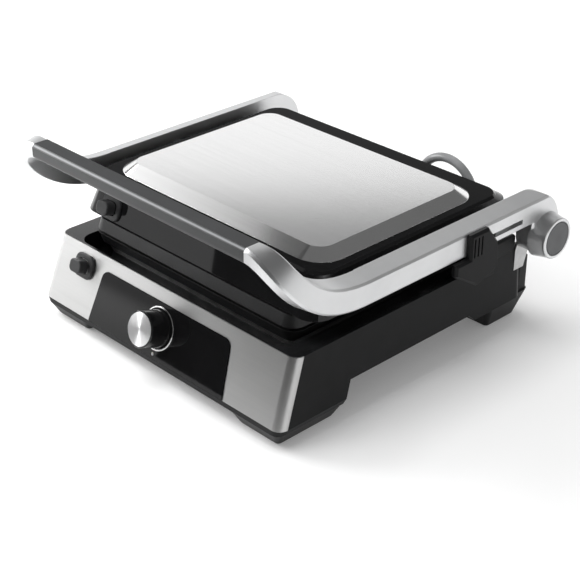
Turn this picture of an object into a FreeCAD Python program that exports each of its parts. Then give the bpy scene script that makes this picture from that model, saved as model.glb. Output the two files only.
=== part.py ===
"""Countertop contact grill with a floating lid, as a parametric document. Units are millimetres.

X runs to the right, Y to the back and Z up. The origin lies on the table, under the middle of the part.
Depths are measured back from front_y, the bottom edge of the front panel.
"""
import FreeCAD, Part
import math
import os
import re

import Sketcher
from FreeCAD import Placement, Rotation, Vector

SIZES = [
    # Base housing
    ("front_y", -177.3, "front panel's bottom edge, from the middle of the part"),
    ("base_width", 360, "base width at its lower rim"),
    ("side_draw", 4, "how far each side of the base draws in towards its top"),
    ("base_depth", 346, "front panel's bottom edge to rear wall"),
    ("base_top", 88, "height of the base's top"),
    ("rim_bottom", 16, "height of the rim below the front panel"),
    ("rim_taper", 2.5, "how far the rim draws in below the front panel"),
    ("panel_bottom", 22, "height of the front panel's bottom edge"),
    ("front_lean", 20.1, "lean of the fronts of base and lid, in degrees"),
    ("corner_round", 10.4, "round of the base's upright corners"),
    ("wall", 3, "wall of the plastic housings"),
    ("apron_end", 84, "depth of the front apron at the rim"),
    ("arch_start", 92, "depth at which the side arch reaches its height"),
    ("arch_rear", 84, "distance of the side arch's end from the rear wall"),
    ("arch_top", 40, "height of the side arch"),
    ("skirt_bottom", 32, "height of the rear skirt's edge"),
    ("skirt_length", 76, "length of the rear skirt's level edge"),
    ("well_front", 27.6, "depth at which the plate well starts"),
    ("well_gap", 1.5, "gap between a plate's rim and the well's side"),
    ("well_margin", 24, "distance of the plate well from the rear wall"),
    ("well_depth", 20, "depth of the plate well's floor below the base's top"),
    ("well_round", 16, "round of the plate well's corners"),
    ("sheet_thick", 2.5, "thickness of the bottom cover"),
    ("cover_gap", 0.3, "gap around the bottom cover"),
    ("screw_head", 4, "radius of a cover screw's head"),
    ("screw_height", 2, "height of a cover screw's head"),
    ("screw_inset", 14, "distance of the cover screws from the cover's edge"),
    # Front panel and controls
    ("panel_thick", 1, "thickness of the steel front panel"),
    ("window_side", 77.5, "distance of the control panel's foot from the base's side"),
    ("window_draw", 7, "how far each side of the control panel draws in towards its top"),
    ("window_height", 57, "height of the control panel along the slope"),
    ("window_foot", 0.6, "height of the control panel's lower edge along the slope"),
    ("window_gap", 0.2, "gap around the control panel"),
    ("window_round", 9, "round of the control panel's upper corners"),
    ("window_proud", 0.8, "how far the control panel stands out of the steel"),
    ("knob_height", 31.5, "height of the knob's axis along the slope"),
    ("knob_radius", 19, "radius of the knob at its foot"),
    ("knob_taper", 0.8, "how far the knob draws in towards its face"),
    ("knob_length", 25, "how far the knob stands out"),
    ("knob_gap", 0.6, "gap below the knob"),
    ("knob_socket", 15, "depth of the shaft's socket in the knob"),
    ("face_inset", 1.4, "rim around the knob's metal face"),
    ("face_thick", 1, "thickness of the knob's metal face"),
    ("ring_gap", 1.2, "gap between the knob and the chrome ring"),
    ("ring_width", 1.8, "width of the chrome ring"),
    ("ring_height", 1.8, "height of the chrome ring"),
    ("shaft_radius", 3, "radius of the knob's shaft"),
    ("shaft_gap", 0.4, "gap between shaft or stem and the panels"),
    ("running_gap", 0.05, "radial clearance of shafts and pins in their bearings"),
    ("thermostat_width", 34, "width of the thermostat"),
    ("thermostat_height", 26, "height of the thermostat along the slope"),
    ("thermostat_depth", 16, "depth of the thermostat"),
    ("lamp_height", 5, "height of the lamp along the slope"),
    ("lamp_radius", 1.6, "radius of the indicator lamp"),
    ("release_side", 54, "distance of the release buttons from the base's side"),
    ("release_low", 50.5, "height of the lower release along the panel's slope"),
    ("release_high", 13, "height of the upper release along the lid's slope"),
    ("bezel_border", 5.5, "border of a release bezel around its button"),
    ("bezel_proud", 3, "how far a release bezel stands out"),
    ("bezel_round", 8, "round of a release bezel's corners"),
    ("button_width", 18, "width of a release button"),
    ("button_height", 14, "height of a release button"),
    ("button_length", 11, "how far a release button stands out of its bezel"),
    ("button_gap", 0.5, "gap around a release button"),
    ("button_travel", 3, "travel of a release button"),
    ("stem_radius", 3, "radius of a release button's stem"),
    ("stem_length", 5, "length of a release button's stem behind the panel"),
    # Feet
    ("foot_width", 72, "distance of a front foot's inner side from the base's side"),
    ("foot_rear", 88, "depth at which a front foot ends"),
    ("foot_taper", 8, "how far a front foot draws in towards the table"),
    ("rear_foot_side", 6, "distance of a rear foot from the base's side"),
    ("rear_foot_width", 50, "width of a rear foot"),
    ("rear_foot_length", 46, "reach of a rear foot forward of the rear wall"),
    ("rear_foot_reach", 19, "reach of a rear foot behind the rear wall"),
    ("rear_foot_taper", 10, "how far a rear foot draws in towards the table"),
    ("post_width", 36, "width of a rear foot's post behind the rear wall"),
    ("post_inset", 2, "distance of that post from the foot's outer and rear edge"),
    ("post_drop", 18, "distance of that post's top from the base's top"),
    ("foot_round", 4, "round of the feet's edges"),
    ("pad_height", 2, "height of the rubber pads under the feet"),
    ("pad_inset", 5, "distance of a rubber pad from its foot's edge"),
    # Plates and heaters
    ("plate_side", 31, "distance of a cooking plate from the base's side"),
    ("plate_front", 46, "depth at which the plates start"),
    ("plate_margin", 27, "distance of the plates from the rear wall"),
    ("plate_taper", 4, "how far a plate draws in behind its rim"),
    ("plate_round", 15, "round of the plates' corners"),
    ("plate_proud", 5.5, "height of the lower plate's rim above the base's top"),
    ("plate_gap", 3, "gap between the two plates' rims"),
    ("plate_height", 12, "height of a plate"),
    ("rim_width", 6, "width of a plate's rim"),
    ("rim_depth", 3.5, "depth of the cooking face behind the rim"),
    ("plate_thick", 4.5, "thickness of the cooking face"),
    ("rib_height", 2.7, "height of the grill ribs"),
    ("rib_foot", 6, "width of a rib at its foot"),
    ("rib_crest", 3, "width of a rib at its crest"),
    ("rib_count", 21, "number of grill ribs"),
    ("channel", 8, "width of the drain channel around the ribs"),
    ("heater_radius", 3.2, "radius of the heater tubes"),
    ("heater_gap", 0.3, "gap between heater and plate"),
    ("heater_side", 44, "distance of the heater's legs from the plate's edge"),
    ("heater_bend", 24, "bend radius of the heater tube"),
    ("tray_thick", 0.8, "sheet thickness of the reflector trays"),
    ("tray_inset", 8, "distance of a tray's lip from the plate's outline"),
    ("tray_slope", 6, "run of a tray's sloping sides"),
    ("upper_tray", 6, "height of the upper reflector tray"),
    # Lid
    ("lid_side", 4, "distance of the lid's lower edge from the base's top edge"),
    ("lid_draw", 9, "how far each side of the lid draws in towards its top"),
    ("lid_front", 51, "depth at which the lid starts"),
    ("lid_margin", 8, "distance of the lid's lower edge from the rear wall"),
    ("lid_rear_draw", 3, "how far the lid's rear draws in up to its shoulder"),
    ("lid_rear_slope", 11, "how far the lid's rear draws in above its shoulder"),
    ("lid_shoulder", 32, "height of the lid's rear shoulder above its lower edge"),
    ("lid_gap", 1.5, "height of the lid's lower edge above the upper plate"),
    ("lid_height", 41, "height of the lid"),
    ("lid_round", 20, "round of the lid's upright corners"),
    ("lid_edge", 2.5, "round of the lid's top edge"),
    ("lid_roof", 4, "thickness of the lid's roof"),
    ("lid_boss", 6, "radius of the bosses that hold the upper tray"),
    ("boss_inset", 49, "distance of the bosses from the plates' edge"),
    ("ledge", 10.5, "ledge around the lid cover"),
    ("rear_ledge", 22.5, "ledge behind the lid cover"),
    ("cover_height", 9, "height of the lid cover"),
    ("cover_slope", 14.5, "width of the lid cover's sloped edge"),
    ("cover_round", 30, "round of the lid cover's corners"),
    ("cover_thick", 0.8, "sheet thickness of the lid cover"),
    # Arms and handle
    ("arm_gap", 2.5, "gap between the base's top edge and an arm"),
    ("arm_thick", 20, "thickness of an arm"),
    ("arm_lift", 16, "height of an arm's lower edge above the lid's lower edge"),
    ("arm_height", 24, "height of an arm's outer face"),
    ("arm_rise", 13, "inward rise of an arm's top, in degrees"),
    ("arm_edge", 1.8, "chamfer of an arm's outer edges"),
    ("sweep_end", 92.5, "depth at which an arm's sweep into the handle starts"),
    ("sweep_in", 25.1, "reach of an arm's sweep inwards from the arm's inner face"),
    ("sweep_pull", 45, "pull of the handle's line on the sweep"),
    ("sweep_hold", 79, "pull of the arm's line on the sweep"),
    ("sweep_chamfer", 3, "chamfer of the sweep's lower edges at the handle"),
    ("sweep_swell", 3, "extra width of the sweep half way"),
    ("sweep_full", 1.5, "extra thickness of the sweep half way"),
    ("handle_front", -15, "depth at which the handle starts"),
    ("handle_depth", 18.5, "depth of the handle"),
    ("handle_rise", 53.4, "height of the handle's top above the lid's top"),
    ("handle_height", 16, "height of the handle"),
    ("handle_chamfer", 3, "chamfer of the handle's upper front edge"),
    ("handle_round", 5, "round of the handle's lower edges"),
    ("rod_radius", 3, "radius of the tie rod in the handle"),
    ("rod_reach", 9, "reach of the tie rod into each arm"),
    # Hinges
    ("hinge_set", 3.5, "distance of the main hinge axis behind the rear wall"),
    ("hinge_rise", 20.3, "height of the main hinge axis above the base's top"),
    ("barrel_radius", 21.5, "radius of a hinge barrel"),
    ("barrel_proud", 15.5, "how far a hinge barrel stands out of its arm"),
    ("shoulder_round", 38, "round of an arm's rear shoulder"),
    ("flare", 3, "widening of a hinge barrel towards its arm"),
    ("cap_inset", 4, "width of the barrel's rim around a hinge cap"),
    ("cap_thick", 3, "thickness of a hinge cap"),
    ("cap_groove", 0.8, "groove around a hinge cap"),
    ("bush_wall", 3, "wall of a hinge bush"),
    ("pin_radius", 5, "radius of a hinge pin"),
    ("pin_reach", 26, "reach of a hinge pin into its bush"),
    ("head_border", 3, "border of a hinge pin's head around the pin"),
    ("head_thick", 3, "thickness of a hinge pin's head"),
    ("bracket_set", 1, "depth of a hinge bracket's seat in the base's side"),
    ("bracket_thick", 2.5, "thickness of a hinge bracket"),
    ("bracket_reach", 15, "reach of a hinge bracket forward of the rear wall"),
    ("bracket_drop", 23, "reach of a hinge bracket below the base's top"),
    ("ear_border", 6, "border of a hinge bracket's ear around the pin"),
    ("tower_width", 16, "width of a hinge tower"),
    ("tower_length", 31, "length of a hinge tower"),
    ("tower_height", 18.5, "height of a hinge tower"),
    ("tower_round", 3, "round of a hinge tower's edges"),
    ("pivot_back", 190, "depth of the lid's pivot"),
    ("pivot_rise", 24, "height of the lid's pivot above the lid's lower edge"),
    ("pivot_radius", 4, "radius of a lid pivot pin"),
    ("pivot_depth", 5, "reach of a lid pivot pin into the lid"),
    ("pivot_reach", 9, "reach of a lid pivot pin into its arm"),
    ("collar_border", 3, "border of a pivot pin's collar around the pin"),
    ("collar_length", 8.5, "length of a pivot pin's collar"),
    # Lock
    ("lock_set", 121, "distance of the lock slider's grip from the rear wall"),
    ("lock_grip", 26.5, "length of the lock slider at its top"),
    ("lock_length", 44, "length of the lock slider behind the start of its grip"),
    ("lock_nose", 20, "reach of the lock slider's nose forward of its grip"),
    ("lock_travel", 42, "travel of the lock slider"),
    ("lock_over", 24.5, "height of the lock slider above the arm's lower edge"),
    ("lock_cheek", 5, "height of the lock slider's rear corner above the arm's lower edge"),
    ("lock_heel", 23.5, "depth of the lock slider's heel below the arm's lower edge"),
    ("lock_chin", 33, "depth of the lock slider's lowest point below the arm's lower edge"),
    ("lock_toe", 13, "distance of the lock slider's lowest point behind the start of its grip"),
    ("lock_jaw", 12.5, "depth of the lock slider's nose below the arm's lower edge"),
    ("lock_thick", 6, "thickness of the lock slider outside the arm"),
    ("lock_bevel", 2.4, "bevel of the lock slider's edges"),
    ("lock_gap", 0.4, "gap between the lock slider and its arm"),
    ("web_length", 12, "length of the lock slider's web below the arm"),
    ("web_reach", 10, "reach of the lock slider's web inwards"),
    ("hook_reach", 8, "reach of the lock slider's hook beyond the web"),
    ("hook_height", 4, "height of the lock slider's hook"),
    ("tongue_length", 42, "length of the lock slider's tongue"),
    ("tongue_height", 4, "height of the lock slider's tongue"),
    ("tongue_depth", 9, "reach of the tongue into the arm"),
    ("slot_rise", 9, "height of the slot's middle above the arm's lower edge"),
    ("grip_count", 3, "number of grip grooves on the lock slider"),
    ("grip_pitch", 5.2, "pitch of the grip grooves"),
    ("grip_width", 2.2, "width of a grip groove"),
    ("grip_depth", 1.2, "depth of a grip groove"),
    ("grip_height", 20, "height of the grip grooves"),
    # Conduit and glands
    ("conduit_set", 2.5, "distance of the conduit's plane from the rear wall"),
    ("conduit_side", 70, "distance of the conduit's end at the base from the base's side"),
    ("conduit_bend", 37, "bend radius of the conduit"),
    ("conduit_rise", 5.5, "height above the lid's lower edge at which the conduit's arch starts"),
    ("conduit_radius", 4.75, "radius of the conduit"),
    ("gland_border", 2.25, "border of the conduit's glands around the conduit"),
    ("gland_height", 8, "height of the base gland"),
    ("gland_drop", 14, "reach of the base gland down the rear wall"),
    ("elbow_width", 17, "width of the conduit's glands"),
    ("elbow_foot", 5, "reach of the lid gland below the lid's edge"),
    ("mains_side", 75, "distance of the mains gland from the base's side"),
    ("mains_drop", 30, "distance of the mains gland from the base's top"),
    ("mains_bore", 3.5, "radius of the mains gland's bore"),
    ("mains_border", 5.5, "border of the mains gland around its bore"),
    ("mains_length", 13, "length of the mains gland"),
]

# Sizes that follow from those above
DERIVED = [
    ("base_top_width", "base_width - 2 * side_draw"),
    ("arch_end", "base_depth - arch_rear"),
    ("skirt_start", "base_depth - skirt_length"),
    ("plate_width", "base_width - 2 * plate_side"),
    ("plate_rear", "base_depth - plate_margin"),
    ("lower_rim", "base_top + plate_proud"),
    ("upper_rim", "lower_rim + plate_gap"),
    ("upper_back", "upper_rim + plate_height"),
    ("rib_pitch", "(plate_width - 2 * rim_width - 2 * channel) / rib_count"),
    ("well_width", "plate_width + 2 * well_gap"),
    ("well_rear", "base_depth - well_margin"),
    ("well_floor", "base_top - well_depth"),
    ("window_bottom", "base_width - 2 * window_side"),
    ("window_top", "window_bottom - 2 * window_draw"),
    ("knob_top_radius", "knob_radius - knob_taper"),
    ("face_radius", "knob_top_radius - face_inset"),
    ("ring_radius", "knob_radius + ring_gap + ring_width"),
    ("release_x", "base_width / 2 - release_side"),
    ("bezel_width", "button_width + 2 * bezel_border"),
    ("bezel_height", "button_height + 2 * bezel_border"),
    ("button_proud", "bezel_proud + button_length"),
    ("foot_inner", "base_width / 2 - foot_width"),
    ("rear_foot_outer", "base_width / 2 - rear_foot_side"),
    ("rear_foot_inner", "rear_foot_outer - rear_foot_width"),
    ("rear_foot_rear", "base_depth + rear_foot_reach"),
    ("rear_foot_front", "base_depth - rear_foot_length"),
    ("post_top", "base_top - post_drop"),
    ("lid_width", "base_top_width - 2 * lid_side"),
    ("lid_top_width", "lid_width - 2 * lid_draw"),
    ("lid_bottom", "upper_back + lid_gap"),
    ("lid_top", "lid_bottom + lid_height"),
    ("lid_brink", "lid_top - lid_edge"),
    ("lid_rear", "base_depth - lid_margin"),
    ("lid_top_rear", "lid_rear - lid_rear_draw - lid_rear_slope"),
    ("boss_x", "plate_width / 2 - boss_inset"),
    ("boss_y", "(plate_rear - plate_front) / 2 - boss_inset"),
    ("arm_inner", "base_top_width / 2 + arm_gap"),
    ("arm_outer", "arm_inner + arm_thick"),
    ("arm_low", "lid_bottom + arm_lift"),
    ("arm_high", "arm_low + arm_height"),
    ("handle_half", "arm_inner - sweep_in"),
    ("handle_top", "lid_top + handle_rise"),
    ("handle_mid_z", "handle_top - handle_height / 2"),
    ("handle_mid", "handle_front + handle_depth / 2"),
    ("hinge_back", "base_depth + hinge_set"),
    ("hinge_z", "base_top + hinge_rise"),
    ("barrel_end", "arm_outer + barrel_proud"),
    ("cap_radius", "barrel_radius - cap_inset"),
    ("bush_radius", "pin_radius + bush_wall"),
    ("pin_head", "pin_radius + head_border"),
    ("bracket_inner", "base_top_width / 2 - bracket_set"),
    ("bracket_front", "base_depth - bracket_reach"),
    ("bracket_bottom", "base_top - bracket_drop"),
    ("ear_radius", "pin_radius + ear_border"),
    ("tower_inner", "base_top_width / 2 - tower_width"),
    ("tower_front", "bracket_front - tower_length"),
    ("tower_top", "base_top + tower_height"),
    ("pivot_z", "lid_bottom + pivot_rise"),
    ("pivot_inner", "lid_top_width / 2 - pivot_depth"),
    ("collar_radius", "pivot_radius + collar_border"),
    ("collar_inner", "arm_inner - collar_length"),
    ("lock_front", "base_depth - lock_set"),
    ("slot_z", "arm_low + slot_rise"),
    ("conduit_back", "base_depth - conduit_set"),
    ("conduit_base_x", "base_width / 2 - conduit_side"),
    ("conduit_lid_x", "conduit_base_x - 2 * conduit_bend"),
    ("conduit_spring", "lid_bottom + conduit_rise"),
    ("gland_radius", "conduit_radius + gland_border"),
    ("mains_x", "-(base_width / 2 - mains_side)"),
    ("mains_z", "base_top - mains_drop"),
    ("mains_radius", "mains_bore + mains_border"),
]

LEAN = "tan(front_lean * 1 deg)"
ALIAS = re.compile(r"\b(" + "|".join(alias for alias, _, _ in SIZES) + r")\b")
PLACE = re.compile(r"\b(" + "|".join(alias for alias, _ in DERIVED) + r")\b")

doc = FreeCAD.newDocument("contact_grill")
sheet = doc.addObject("Spreadsheet::Sheet", "dims")
for row, (alias, value, note) in enumerate(SIZES, start=1):
    sheet.set(f"A{row}", str(value))
    sheet.setAlias(f"A{row}", alias)
    sheet.set(f"B{row}", note)
doc.recompute()
places = doc.addObject("Spreadsheet::Sheet", "places")
for row, (alias, formula) in enumerate(DERIVED, start=1):
    places.set(f"A{row}", "=" + ALIAS.sub(r"dims.\1", formula))
    places.setAlias(f"A{row}", alias)
doc.recompute()

nodes = []


def size(alias):
    holder = sheet if ALIAS.fullmatch(alias) else places
    return float(holder.get(alias))


def bind(thing, path, text):
    """Bind a property to an expression in which plain words are sizes of the sheets."""
    text = ALIAS.sub(r"dims.\1", text)
    thing.setExpression(path, PLACE.sub(r"places.\1", text))


def back(depth):
    """Place in Y of a depth that is measured from the front panel's bottom edge."""
    return f"(front_y + {depth})"


def front_at(height):
    """Place in Y of the base's leaning front at a height."""
    return f"(front_y + ({height} - panel_bottom) * {LEAN})"


def lid_front_at(height):
    """Place in Y of the lid's leaning front at a height."""
    return f"(front_y + lid_front + ({height} - lid_bottom) * {LEAN})"


# Tools for sketches and features

def new_body(name):
    body = doc.addObject("PartDesign::Body", name)
    body.Label = name
    return body


def leaning_body(name, depth, height):
    """Body whose local X, Y and Z run to the right, up the leaning front and out of it."""
    body = new_body(name)
    body.Placement = Placement(Vector(0, 0, 0), Rotation(Vector(1, 0, 0), 90))
    bind(body, "Placement.Base.y", depth)
    bind(body, "Placement.Base.z", height)
    bind(body, "Placement.Rotation.Angle", "(90 - front_lean) * 1 deg")
    return body


def new_sketch(body, name, role, offset="0"):
    sketch = body.newObject("Sketcher::SketchObject", name)
    origin_plane = next(item for item in body.Origin.OriginFeatures if item.Role == role)
    sketch.AttachmentSupport = [(origin_plane, "")]
    sketch.MapMode = "FlatFace"
    bind(sketch, "AttachmentOffset.Base.z", offset)
    return sketch


def hold(sketch, kind, item, point, text):
    """Hold a point at a distance from the sketch's origin, along X or along Y."""
    index = sketch.addConstraint(Sketcher.Constraint(kind, -1, 1, item, point, 1.0))
    bind(sketch, f"Constraints[{index}]", text)


def polygon(sketch, points):
    count = len(points)
    first = sketch.GeometryCount
    corners = [Vector(math.cos(2 * math.pi * i / count), math.sin(2 * math.pi * i / count), 0)
               for i in range(count)]
    for i in range(count):
        sketch.addGeometry(Part.LineSegment(corners[i], corners[(i + 1) % count]), False)
    for i in range(count):
        follower = first + (i + 1) % count
        sketch.addConstraint(Sketcher.Constraint("Coincident", first + i, 2, follower, 1))
    for i, (across, along) in enumerate(points):
        hold(sketch, "DistanceX", first + i, 1, across)
        hold(sketch, "DistanceY", first + i, 1, along)


def rectangle(sketch, left, low, right, high):
    polygon(sketch, [(left, low), (right, low), (right, high), (left, high)])


def rounded_rectangle(sketch, left, low, right, high, radius):
    """Four sides, placed by their ends, and then an arc at each corner."""
    sides = [((f"{left} + {radius}", low), (f"{right} - {radius}", low)),
             ((right, f"{low} + {radius}"), (right, f"{high} - {radius}")),
             ((f"{right} - {radius}", high), (f"{left} + {radius}", high)),
             ((left, f"{high} - {radius}"), (left, f"{low} + {radius}"))]
    for i, ends in enumerate(sides):
        sketch.addGeometry(Part.LineSegment(Vector(0, i, 0), Vector(1, i, 0)), False)
        for point, (across, along) in enumerate(ends, start=1):
            hold(sketch, "DistanceX", i, point, across)
            hold(sketch, "DistanceY", i, point, along)
    doc.recompute()
    lines = [sketch.Geometry[i] for i in range(len(sides))]
    for i, line in enumerate(lines):
        follower = (i + 1) % len(lines)
        start = line.EndPoint
        end = lines[follower].StartPoint
        run = line.EndPoint - line.StartPoint
        run.normalize()
        sharp = start + run * abs((end - start).dot(run))
        middle = start + end - sharp
        bulge = sharp - middle
        bulge.normalize()
        through = middle + bulge * (start - middle).Length
        arc = sketch.addGeometry(Part.Arc(start, through, end), False)
        sketch.addConstraint(Sketcher.Constraint("Coincident", i, 2, arc, 1))
        sketch.addConstraint(Sketcher.Constraint("Coincident", arc, 2, follower, 1))
        held = sketch.addConstraint(Sketcher.Constraint("Radius", arc, (start - middle).Length))
        bind(sketch, f"Constraints[{held}]", radius)


def circle(sketch, across, along, radius):
    index = sketch.addGeometry(Part.Circle(Vector(0, 0, 0), Vector(0, 0, 1), 1), False)
    hold(sketch, "DistanceX", index, 3, across)
    hold(sketch, "DistanceY", index, 3, along)
    held = sketch.addConstraint(Sketcher.Constraint("Radius", index, 1.0))
    bind(sketch, f"Constraints[{held}]", radius)


def extrude(kind, body, name, sketch, length, symmetric=False, flip=False):
    """Pad or Pocket of a sketch. Without a length, a Pocket goes through everything."""
    feature = body.newObject(f"PartDesign::{kind}", name)
    feature.Profile = sketch
    feature.Midplane = symmetric
    feature.Reversed = flip
    if length is None:
        feature.Type = "ThroughAll"
    else:
        bind(feature, "Length", length)
    doc.recompute()
    return feature


def pad(body, name, sketch, length, symmetric=False, flip=False):
    return extrude("Pad", body, name, sketch, length, symmetric, flip)


def pocket(body, name, sketch, length=None, symmetric=False, flip=False):
    before = body.Shape.Volume
    feature = extrude("Pocket", body, name, sketch, length, symmetric, flip)
    if body.Shape.Volume > before - 1e-3:
        raise RuntimeError(f"{name} cuts nothing")
    return feature


def loft(kind, body, name, low, high):
    feature = body.newObject(f"PartDesign::{kind}Loft", name)
    feature.Profile = low
    feature.Sections = [high]
    feature.Ruled = True
    doc.recompute()
    return feature


def tapered(kind, body, name, low, low_z, high, high_z):
    """Loft between two level rectangles, each given as left, front, right, rear and corner round."""
    low_sketch = new_sketch(body, f"{name}_low", "XY_Plane", low_z)
    rounded_rectangle(low_sketch, *low)
    high_sketch = new_sketch(body, f"{name}_high", "XY_Plane", high_z)
    rounded_rectangle(high_sketch, *high)
    return loft(kind, body, name, low_sketch, high_sketch)


def dressed(kind, body, name, base, radius, test):
    """Fillet or Chamfer of those edges of a feature that pass a test."""
    picked = [f"Edge{i}" for i, edge in enumerate(base.Shape.Edges, start=1) if test(edge)]
    if not picked:
        raise RuntimeError(f"{name} finds no edge")
    feature = body.newObject(f"PartDesign::{kind}", name)
    feature.Base = (base, picked)
    bind(feature, "Radius" if kind == "Fillet" else "Size", radius)
    doc.recompute()
    return feature


def direction(edge):
    return edge.tangentAt(edge.FirstParameter)


def straight(edge):
    turn = edge.tangentAt(edge.LastParameter) - direction(edge)
    return turn.Length < 1e-6 and not edge.isClosed()


def upright(edge):
    return straight(edge) and abs(direction(edge).z) > 0.6


def crosswise(edge):
    return straight(edge) and abs(direction(edge).x) > 0.9


def near(edge, axis, place, reach=0.2):
    """Whether the whole edge lies at a place along one axis."""
    box = edge.BoundBox
    low = getattr(box, f"{axis}Min")
    high = getattr(box, f"{axis}Max")
    return abs(low - place) < reach and abs(high - place) < reach


def block(body, name, role, offset, points, length, symmetric=False, flip=False):
    """Pad of one polygon."""
    sketch = new_sketch(body, f"{name}_outline", role, offset)
    polygon(sketch, points)
    return pad(body, name, sketch, length, symmetric, flip)


def disc(body, name, role, offset, across, along, radius, length, flip=False):
    """Pad of one circle."""
    sketch = new_sketch(body, f"{name}_outline", role, offset)
    circle(sketch, across, along, radius)
    return pad(body, name, sketch, length, False, flip)


def bore(body, name, role, offset, across, along, radius, length=None, symmetric=False, flip=False):
    """Pocket of one circle."""
    sketch = new_sketch(body, f"{name}_outline", role, offset)
    circle(sketch, across, along, radius)
    return pocket(body, name, sketch, length, symmetric, flip)


def revolved(body, name, axis, points):
    """Full revolution of a polygon on the body's XZ plane, about the sketch's H_Axis or V_Axis."""
    sketch = new_sketch(body, f"{name}_profile", "XZ_Plane")
    polygon(sketch, points)
    feature = body.newObject("PartDesign::Revolution", name)
    feature.Profile = sketch
    feature.ReferenceAxis = (sketch, [axis])
    feature.Angle = 360
    doc.recompute()
    return feature


def boolean(kind, name, base, tool):
    result = doc.addObject(f"Part::{kind}", name)
    result.Base = base
    result.Tool = tool
    result.Label = name
    doc.recompute()
    return result


def mirrored(name, source):
    result = doc.addObject("Part::Mirroring", name)
    result.Source = source
    result.Normal = Vector(1, 0, 0)
    result.Label = name
    doc.recompute()
    return result


def node(thing):
    """List an object as one of the parts to be written."""
    nodes.append(thing)
    return thing


def pair(name, right):
    """List a right-hand piece and its mirror image as NAME_right and NAME_left."""
    right.Label = f"{name}_right"
    node(right)
    node(mirrored(f"{name}_left", right))


# Base housing

def base_block(name, inset):
    """The base's outer form, drawn in by an inset on all sides."""
    body = new_body(name)

    def level(height, half_width, draw):
        half = f"({half_width} - {inset} - {draw})"
        front = f"{front_at(height)} + {inset} / cos(front_lean * 1 deg) + {draw}"
        return (f"-{half}", front, half, f"{back('base_depth')} - {inset} - {draw}",
                f"(corner_round - {inset})")
    foot = level("rim_bottom", "base_width / 2", "rim_taper")
    rim = level("panel_bottom", "base_width / 2", "0")
    top = level("base_top", "base_top_width / 2", "0")
    tapered("Additive", body, f"{name}_rim", foot, "rim_bottom", rim, "panel_bottom")
    tapered("Additive", body, f"{name}_form", rim, "panel_bottom", top, "base_top")
    return body


def make_front_skin():
    """The steel sheet's full form, before its window is cut."""
    zone = new_body("front_zone")
    margin = "base_depth / 10"
    block(zone, "front_zone_block", "YZ_Plane", "0",
          [(f"{front_at('panel_bottom')} - {margin}", "panel_bottom"),
           (f"{front_at('panel_bottom')} + corner_round", "panel_bottom"),
           (f"{front_at('base_top')} + corner_round", "base_top"),
           (f"{front_at('base_top')} - {margin}", "base_top")],
          "base_width * 1.1", symmetric=True)
    outer = base_block("outer_form", "0")
    inner = base_block("inner_form", "panel_thick")
    sheet_form = boolean("Cut", "front_sheet", outer, inner)
    return boolean("Common", "front_skin", sheet_form, zone)


def window_outline(body, name, offset, foot, gap):
    sketch = new_sketch(body, f"{name}_outline", "XY_Plane", offset)
    polygon(sketch, [(f"-window_bottom / 2 - {gap}", foot), (f"window_bottom / 2 + {gap}", foot),
                     (f"window_top / 2 + {gap}", f"window_height + {gap}"),
                     (f"-window_top / 2 - {gap}", f"window_height + {gap}")])
    return sketch


def round_window(body, name, form):
    def upper_corner(edge):
        return edge.BoundBox.YMin > size("window_height") - 1 and abs(direction(edge).z) > 0.9
    dressed("Fillet", body, f"{name}_corners", form, "window_round", upper_corner)


def make_base_shell(front_skin):
    body = base_block("base_housing", "0")
    under = new_sketch(body, "underside", "YZ_Plane")
    polygon(under, [(back("apron_end"), "0"), (back("apron_end"), "rim_bottom"),
                    (back("arch_start"), "arch_top"), (back("arch_end"), "arch_top"),
                    (back("skirt_start"), "skirt_bottom"),
                    (back("base_depth * 1.1"), "skirt_bottom"), (back("base_depth * 1.1"), "0")])
    pocket(body, "underside_cut", under, symmetric=True)
    half = "base_top_width / 2 - wall"
    rear = back("base_depth - wall")
    ceiling = "well_floor - wall"
    skin = "wall + panel_thick"
    tapered("Subtractive", body, "cavity",
            (f"-({half})", f"{front_at('rim_bottom')} + {skin}", half, rear, "cover_gap"), "rim_bottom",
            (f"-({half})", f"{front_at(ceiling)} + {skin}", half, rear, "cover_gap"), ceiling)
    well = new_sketch(body, "well", "XY_Plane", "base_top")
    rounded_rectangle(well, "-well_width / 2", back("well_front"), "well_width / 2", back("well_rear"),
                      "well_round")
    pocket(body, "well_cut", well, "base_top - well_floor")
    for side, sign in (("right", ""), ("left", "-")):
        flip = side == "right"
        seat = new_sketch(body, f"bracket_seat_{side}", "YZ_Plane", f"{sign}bracket_inner")
        rectangle(seat, back("bracket_front"), "bracket_bottom", back("base_depth * 1.1"), "base_top * 1.1")
        pocket(body, f"bracket_seat_{side}_cut", seat, flip=flip)
    holes = leaning_body("front_holes", back("0"), "panel_bottom")
    disc(holes, "shaft_hole", "XY_Plane", "-wall * 4", "0", "knob_height", "shaft_radius + shaft_gap",
         "wall * 5")
    disc(holes, "stem_hole", "XY_Plane", "-wall * 4", "-release_x", "release_low", "stem_radius + shaft_gap",
         "wall * 5")
    without_skin = boolean("Cut", "base_without_skin", body, front_skin)
    return node(boolean("Cut", "base_shell", without_skin, holes))


def make_front_panel(front_skin):
    opening = leaning_body("panel_opening", back("0"), "panel_bottom")
    outline = window_outline(opening, "panel_opening", "0", "-window_foot", "window_gap")
    form = pad(opening, "panel_opening_form", outline, "wall * 4", symmetric=True)
    round_window(opening, "panel_opening", form)
    disc(opening, "panel_stem_hole", "XY_Plane", "-wall * 2", "-release_x", "release_low",
         "stem_radius + shaft_gap", "wall * 4")
    node(boolean("Cut", "front_panel", front_skin, opening))


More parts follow.
